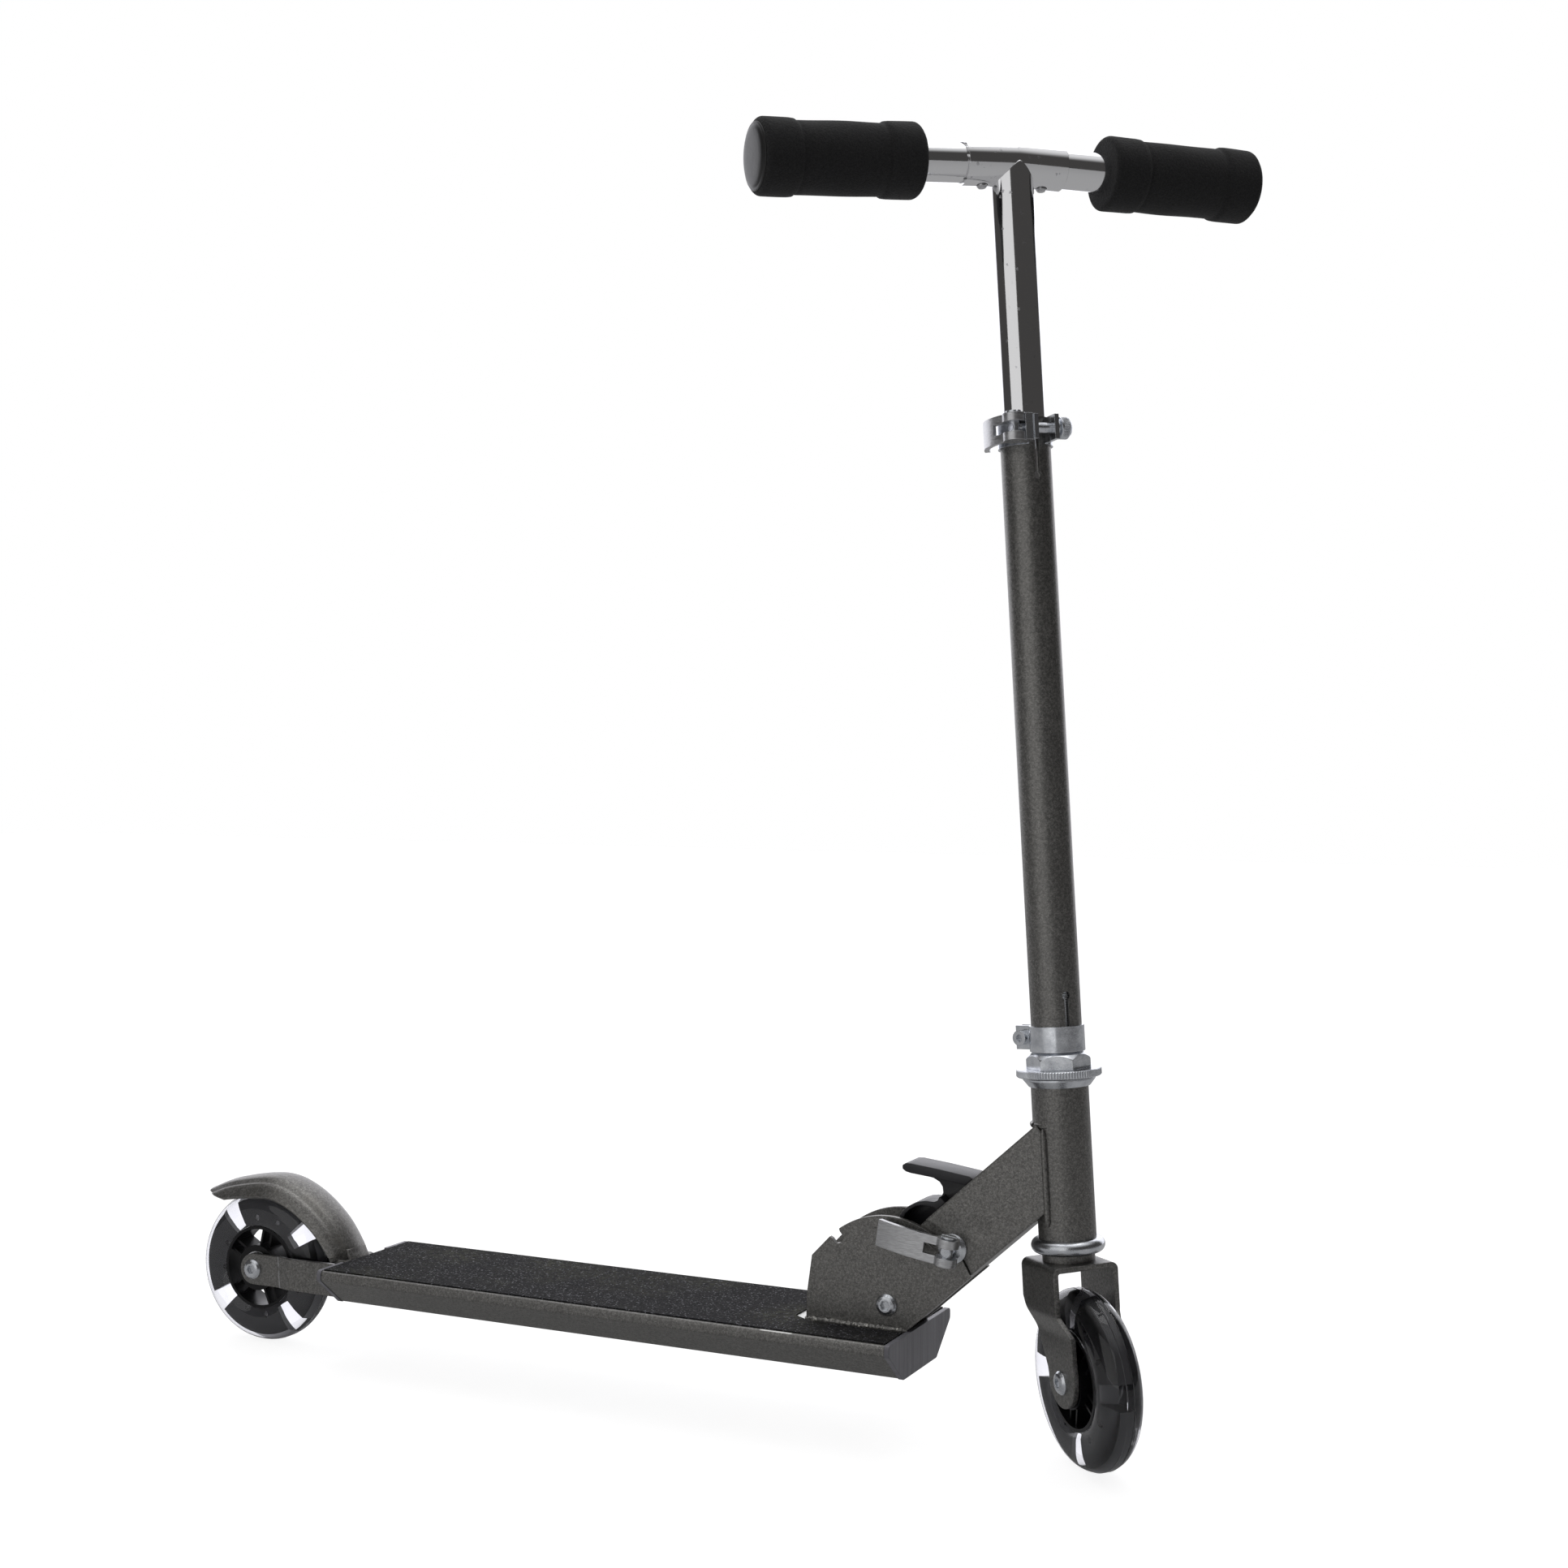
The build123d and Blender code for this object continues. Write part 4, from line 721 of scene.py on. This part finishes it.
weld_top = (neck_high.z - head_foot.z) / head_axis.z - 0.0015
weld_run = 0.0545
weld_low = weld_top - weld_run
bead_paint = sprayed(graphite("bead_paint", 0.0003))
joint_bead = bmesh.new()
for way in (-1, 1):
    line = []
    for point in straight(Vector((weld_top, 0, 0)), Vector((weld_low, 0, 0)), 40):
        line.append(on_head(point.x, joint_back + 0.0004, way * (neck_half - 0.0002)))
    beads(joint_bead, line, joint_weld, seed=21 + way, lumps=0.22)
over_top = []
for index in range(17):
    angle = math.pi * (index / 16 - 0.5)
    over_top.append(on_head(weld_top + 0.0012, head_radius * math.cos(angle) * 0.98 + 0.0003,
                            (neck_half - 0.0005) * math.sin(angle)))
beads(joint_bead, over_top, joint_weld, seed=31, lumps=0.2)
mesh_piece("neck_weld", joint_bead, bead_paint, "neck", "graphite_paint", crease=60.0)

# Thumb catch: black moulding that lies on the neck, with a thumb tab on a curved web.
# It slides with the lock pin and draws it out of the plates' notches.
catch = bmesh.new()
catch_frame = Matrix.Translation(pivot) @ Matrix((
    (neck_way.x, 0, neck_up.x, 0), (0, 1, 0, 0), (neck_way.z, 0, neck_up.z, 0), (0, 0, 0, 1)))
neck_rise = 0.0221
mm = 0.001


def at_mm(points, base):
    return [(x * mm, base + z * mm) for x, z in points]


catch_half = 0.011
web_half = 0.0012
tab = [(88.4, 0.4), (87.6, 2.9), (75.0, 18.0), (64.0, 30.4), (61.6, 32.4), (59.2, 32.8), (57.9, 31.2),
       (58.4, 28.8), (60.2, 26.2), (71.5, 13.6), (82.5, 0.4)]
foot_shell = [(66.0, 0.4), (65.4, 5.4), (63.0, 4.4), (60.6, 5.1), (57.0, 8.6), (53.8, 10.7), (50.0, 12.1),
              (46.0, 12.9), (42.0, 12.9), (38.4, 12.1), (35.2, 10.4), (33.6, 7.6), (34.2, 3.4), (36.4, 0.4),
              (39.0, 0.4), (37.0, 3.6), (36.6, 6.8), (38.4, 9.0), (42.0, 10.6), (46.0, 10.7), (50.0, 9.9),
              (53.2, 8.2), (56.4, 5.0), (58.4, 2.6), (58.4, 0.4)]
web = [(36.4, 0.3), (84.0, 0.3), (72.0, 13.8), (61.8, 24.6), (60.4, 26.0), (59.6, 25.4), (62.6, 20.6),
       (65.6, 16.4), (67.0, 12.6), (66.6, 9.4), (64.6, 6.6), (60.6, 5.2), (57.0, 8.6), (50.0, 12.0),
       (42.0, 12.8), (36.0, 10.8), (34.0, 7.4)]
slab(catch, at_mm(tab, neck_rise), -catch_half, 2 * catch_half, catch_frame)
slab(catch, at_mm(foot_shell, neck_rise), -catch_half, 2 * catch_half, catch_frame)
slab(catch, at_mm(web, neck_rise), -web_half, 2 * web_half, catch_frame)
catch_black = (0.012, 0.0115, 0.014, 1)
catch_plastic = moulded("catch_plastic", catch_black, 0.30, 0.0004)
mesh_piece("thumb_catch", catch, catch_plastic, "lock", "black_plastic", "release_lever",
           crease=32.0, soften=0.0006)

# Quick release levers and snap buttons: aluminium, cast, tumbled and rubbed.
# Each lever turns on a barrel pin and draws its clamp tight.
alloy = surface("tumbled_alloy")
rub = alloy.grain(240.0, 4.0, (1.0, 1.0, 5.0)).ramp(0.3, 0.75)
nick = alloy.grain(1400.0, 3.0).ramp(0.58, 0.75)
alloy_dark = (0.52, 0.52, 0.53, 1)
alloy_light = (0.72, 0.73, 0.74, 1)
tumbled = alloy.finish(Base_Color=alloy.blend(alloy_dark, alloy_light, rub * 0.7 + nick * 0.3), Metallic=1.0,
                       Roughness=0.30 + rub * 0.12,
                       Normal=alloy.bump(rub + nick * 0.5, 0.00006, alloy.rounded(0.0006)))
for name in ("lock_lever", "collar_lever", "snap_button_left", "snap_button_right"):
    wears(name, tumbled)

# Fork: one bent steel strap welded to the threaded steerer, painted with the frame.
# The crown race under the lower cup is sprayed along with it.
fork_paint = graphite("fork_paint", 0.0012)
wears("fork", sprayed(fork_paint))
wears("crown_race", sprayed(graphite("crown_paint", 0.0005)))

# Column: drawn steel tube in frame paint, slit at both ends under its clamps.
# It slips over the steerer below and takes the stem above.
wears("column_tube", sprayed(graphite("column_paint", 0.0003)))

# Stem, sleeve and handle tubes: steel, polished and chromed, with a few specks and wipe marks.
# The stem is welded into the sleeve, and the handles push in until their buttons snap out.
chrome = surface("bright_chrome")
wipe = chrome.grain(30.0, 4.0, (1.0, 1.0, 0.25)).ramp(0.35, 0.8)
speck = chrome.flakes(700.0).ramp(0.985, 1.0)
chrome_clean = (0.86, 0.86, 0.87, 1)
chrome_specked = (0.60, 0.60, 0.62, 1)
bright = chrome.finish(Base_Color=chrome.blend(chrome_clean, chrome_specked, speck), Metallic=1.0,
                       Roughness=0.06 + wipe * 0.04 + speck * 0.25,
                       Normal=chrome.bump(chrome.grain(45.0, 2.0), 0.000008, chrome.rounded(0.0003)))
for name in ("stem_tube", "handle_sleeve", "handle_tube_left", "handle_tube_right"):
    wears(name, bright)

# Grips: black closed-cell foam, ground to a slimmer middle between two raised ends, pushed on with spirit.
# The foam's skin is pitted all over and its ends are rolled.
foam = surface("black_foam")
pores = foam.flakes(1500.0)
nap = foam.grain(800.0, 3.0)
foam_dark = (0.0045, 0.0045, 0.005, 1)
foam_light = (0.022, 0.022, 0.023, 1)
foam_black = foam.finish(Base_Color=foam.blend(foam_dark, foam_light, pores * nap),
                         Roughness=0.94, Sheen_Weight=0.08, Sheen_Roughness=0.5,
                         Normal=foam.bump(pores * 0.5 + nap, 0.0004))
grip_flange = 0.0211
grip_barrel = 0.0199
flange_length = 0.0212
grip_round = 0.0032
grip_length = 0.0951
grip_bore = 0.0111
droop = math.radians(1.8)
hand_cut = 0.00010


def grip_place(side, way):
    """Inner end of a grip, and the way its handle runs outwards."""
    low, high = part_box("grip_" + side)
    outwards = Vector(joints["front_wheel_spin"]["axis"]) * way
    outwards = (outwards * math.cos(droop) - head_axis * math.sin(droop)).normalized()
    return (low + high) / 2 - outwards * (grip_length / 2), outwards


def grip_outline(length, bore):
    """Half section of the foam, from its inner end outwards."""
    points = [(bore, 0.0)]
    for step in range(7):
        angle = math.pi / 2 * step / 6
        points.append((grip_flange + grip_round * (math.sin(angle) - 1), grip_round * (1 - math.cos(angle))))
    for step in range(1, 9):
        points.append((grip_flange, grip_round + (flange_length - 2 * grip_round) * step / 8))
    points += [(grip_flange - 0.0002, flange_length - 0.0008), (grip_barrel + 0.0001, flange_length + 0.0001),
               (grip_barrel - 0.0003, flange_length + 0.0012)]
    span = length - 2 * flange_length
    for step in range(1, 24):
        share = step / 24
        points.append((grip_barrel + 0.0002 * math.sin(math.pi * share), flange_length + span * share))
    return points + [(r, length - h) for r, h in reversed(points[:-23])]


for side, way in (("left", 1), ("right", -1)):
    inner_end, outwards = grip_place(side, way)
    grip_frame = upright_frame(inner_end, outwards, head_axis)
    skin = bmesh.new()
    turned(skin, grip_outline(grip_length, grip_bore), grip_frame, 96, closed=True)
    dice = random.Random(40 + way)
    phases = [dice.uniform(0, 6.28) for _ in range(6)]
    for corner in skin.verts:
        local = grip_frame.inverted() @ corner.co
        angle = math.atan2(local.y, local.x)
        reach = math.hypot(local.x, local.y)
        if reach > 0.014:
            swell = (math.sin(3 * angle + phases[0] + 70 * local.z)
                     + math.sin(5 * angle + phases[1] - 110 * local.z)
                     + math.sin(2 * angle + phases[2] + 160 * local.z))
            outward = Vector((local.x, local.y, 0)) / reach
            corner.co = grip_frame @ (local + outward * (hand_cut * swell))
    grip = mesh_piece("foam_grip_" + side, skin, foam_black, "handlebar", "black_foam", "grip_" + side,
                      crease=75.0)

# End plugs: smooth black discs with a rolled rim, moulded in one piece with a hollow shank.
# Each is pressed into its handle's open end and covers the foam's edge.
plug_black = (0.010, 0.010, 0.010, 1)
plug_disc = 0.0185
plug_shank = 0.0096
plug_deep = 0.014
plug_half = [(0.0, 0.0026), (0.006, 0.00255), (0.011, 0.0024), (0.0145, 0.0021), (0.0160, 0.0017),
             (0.0166, 0.0012), (0.0172, 0.0010), (0.0180, 0.0009), (plug_disc, 0.0005), (plug_disc, 0.0001),
             (0.0182, 0.0), (plug_shank, 0.0), (plug_shank, -0.012), (0.0092, -plug_deep), (0.0, -plug_deep)]
for side, way in (("left", 1), ("right", -1)):
    inner_end, outwards = grip_place(side, way)
    plug = bmesh.new()
    turned(plug, plug_half[::-1], upright_frame(inner_end + outwards * grip_length, outwards, head_axis), 72)
    bmesh.ops.remove_doubles(plug, verts=plug.verts, dist=1e-6)
    mesh_piece("bar_plug_" + side, plug, moulded("plug_plastic_" + side, plug_black, 0.33, 0.0003),
               "handlebar", "black_plastic", "grip_plug_" + side, crease=40.0)
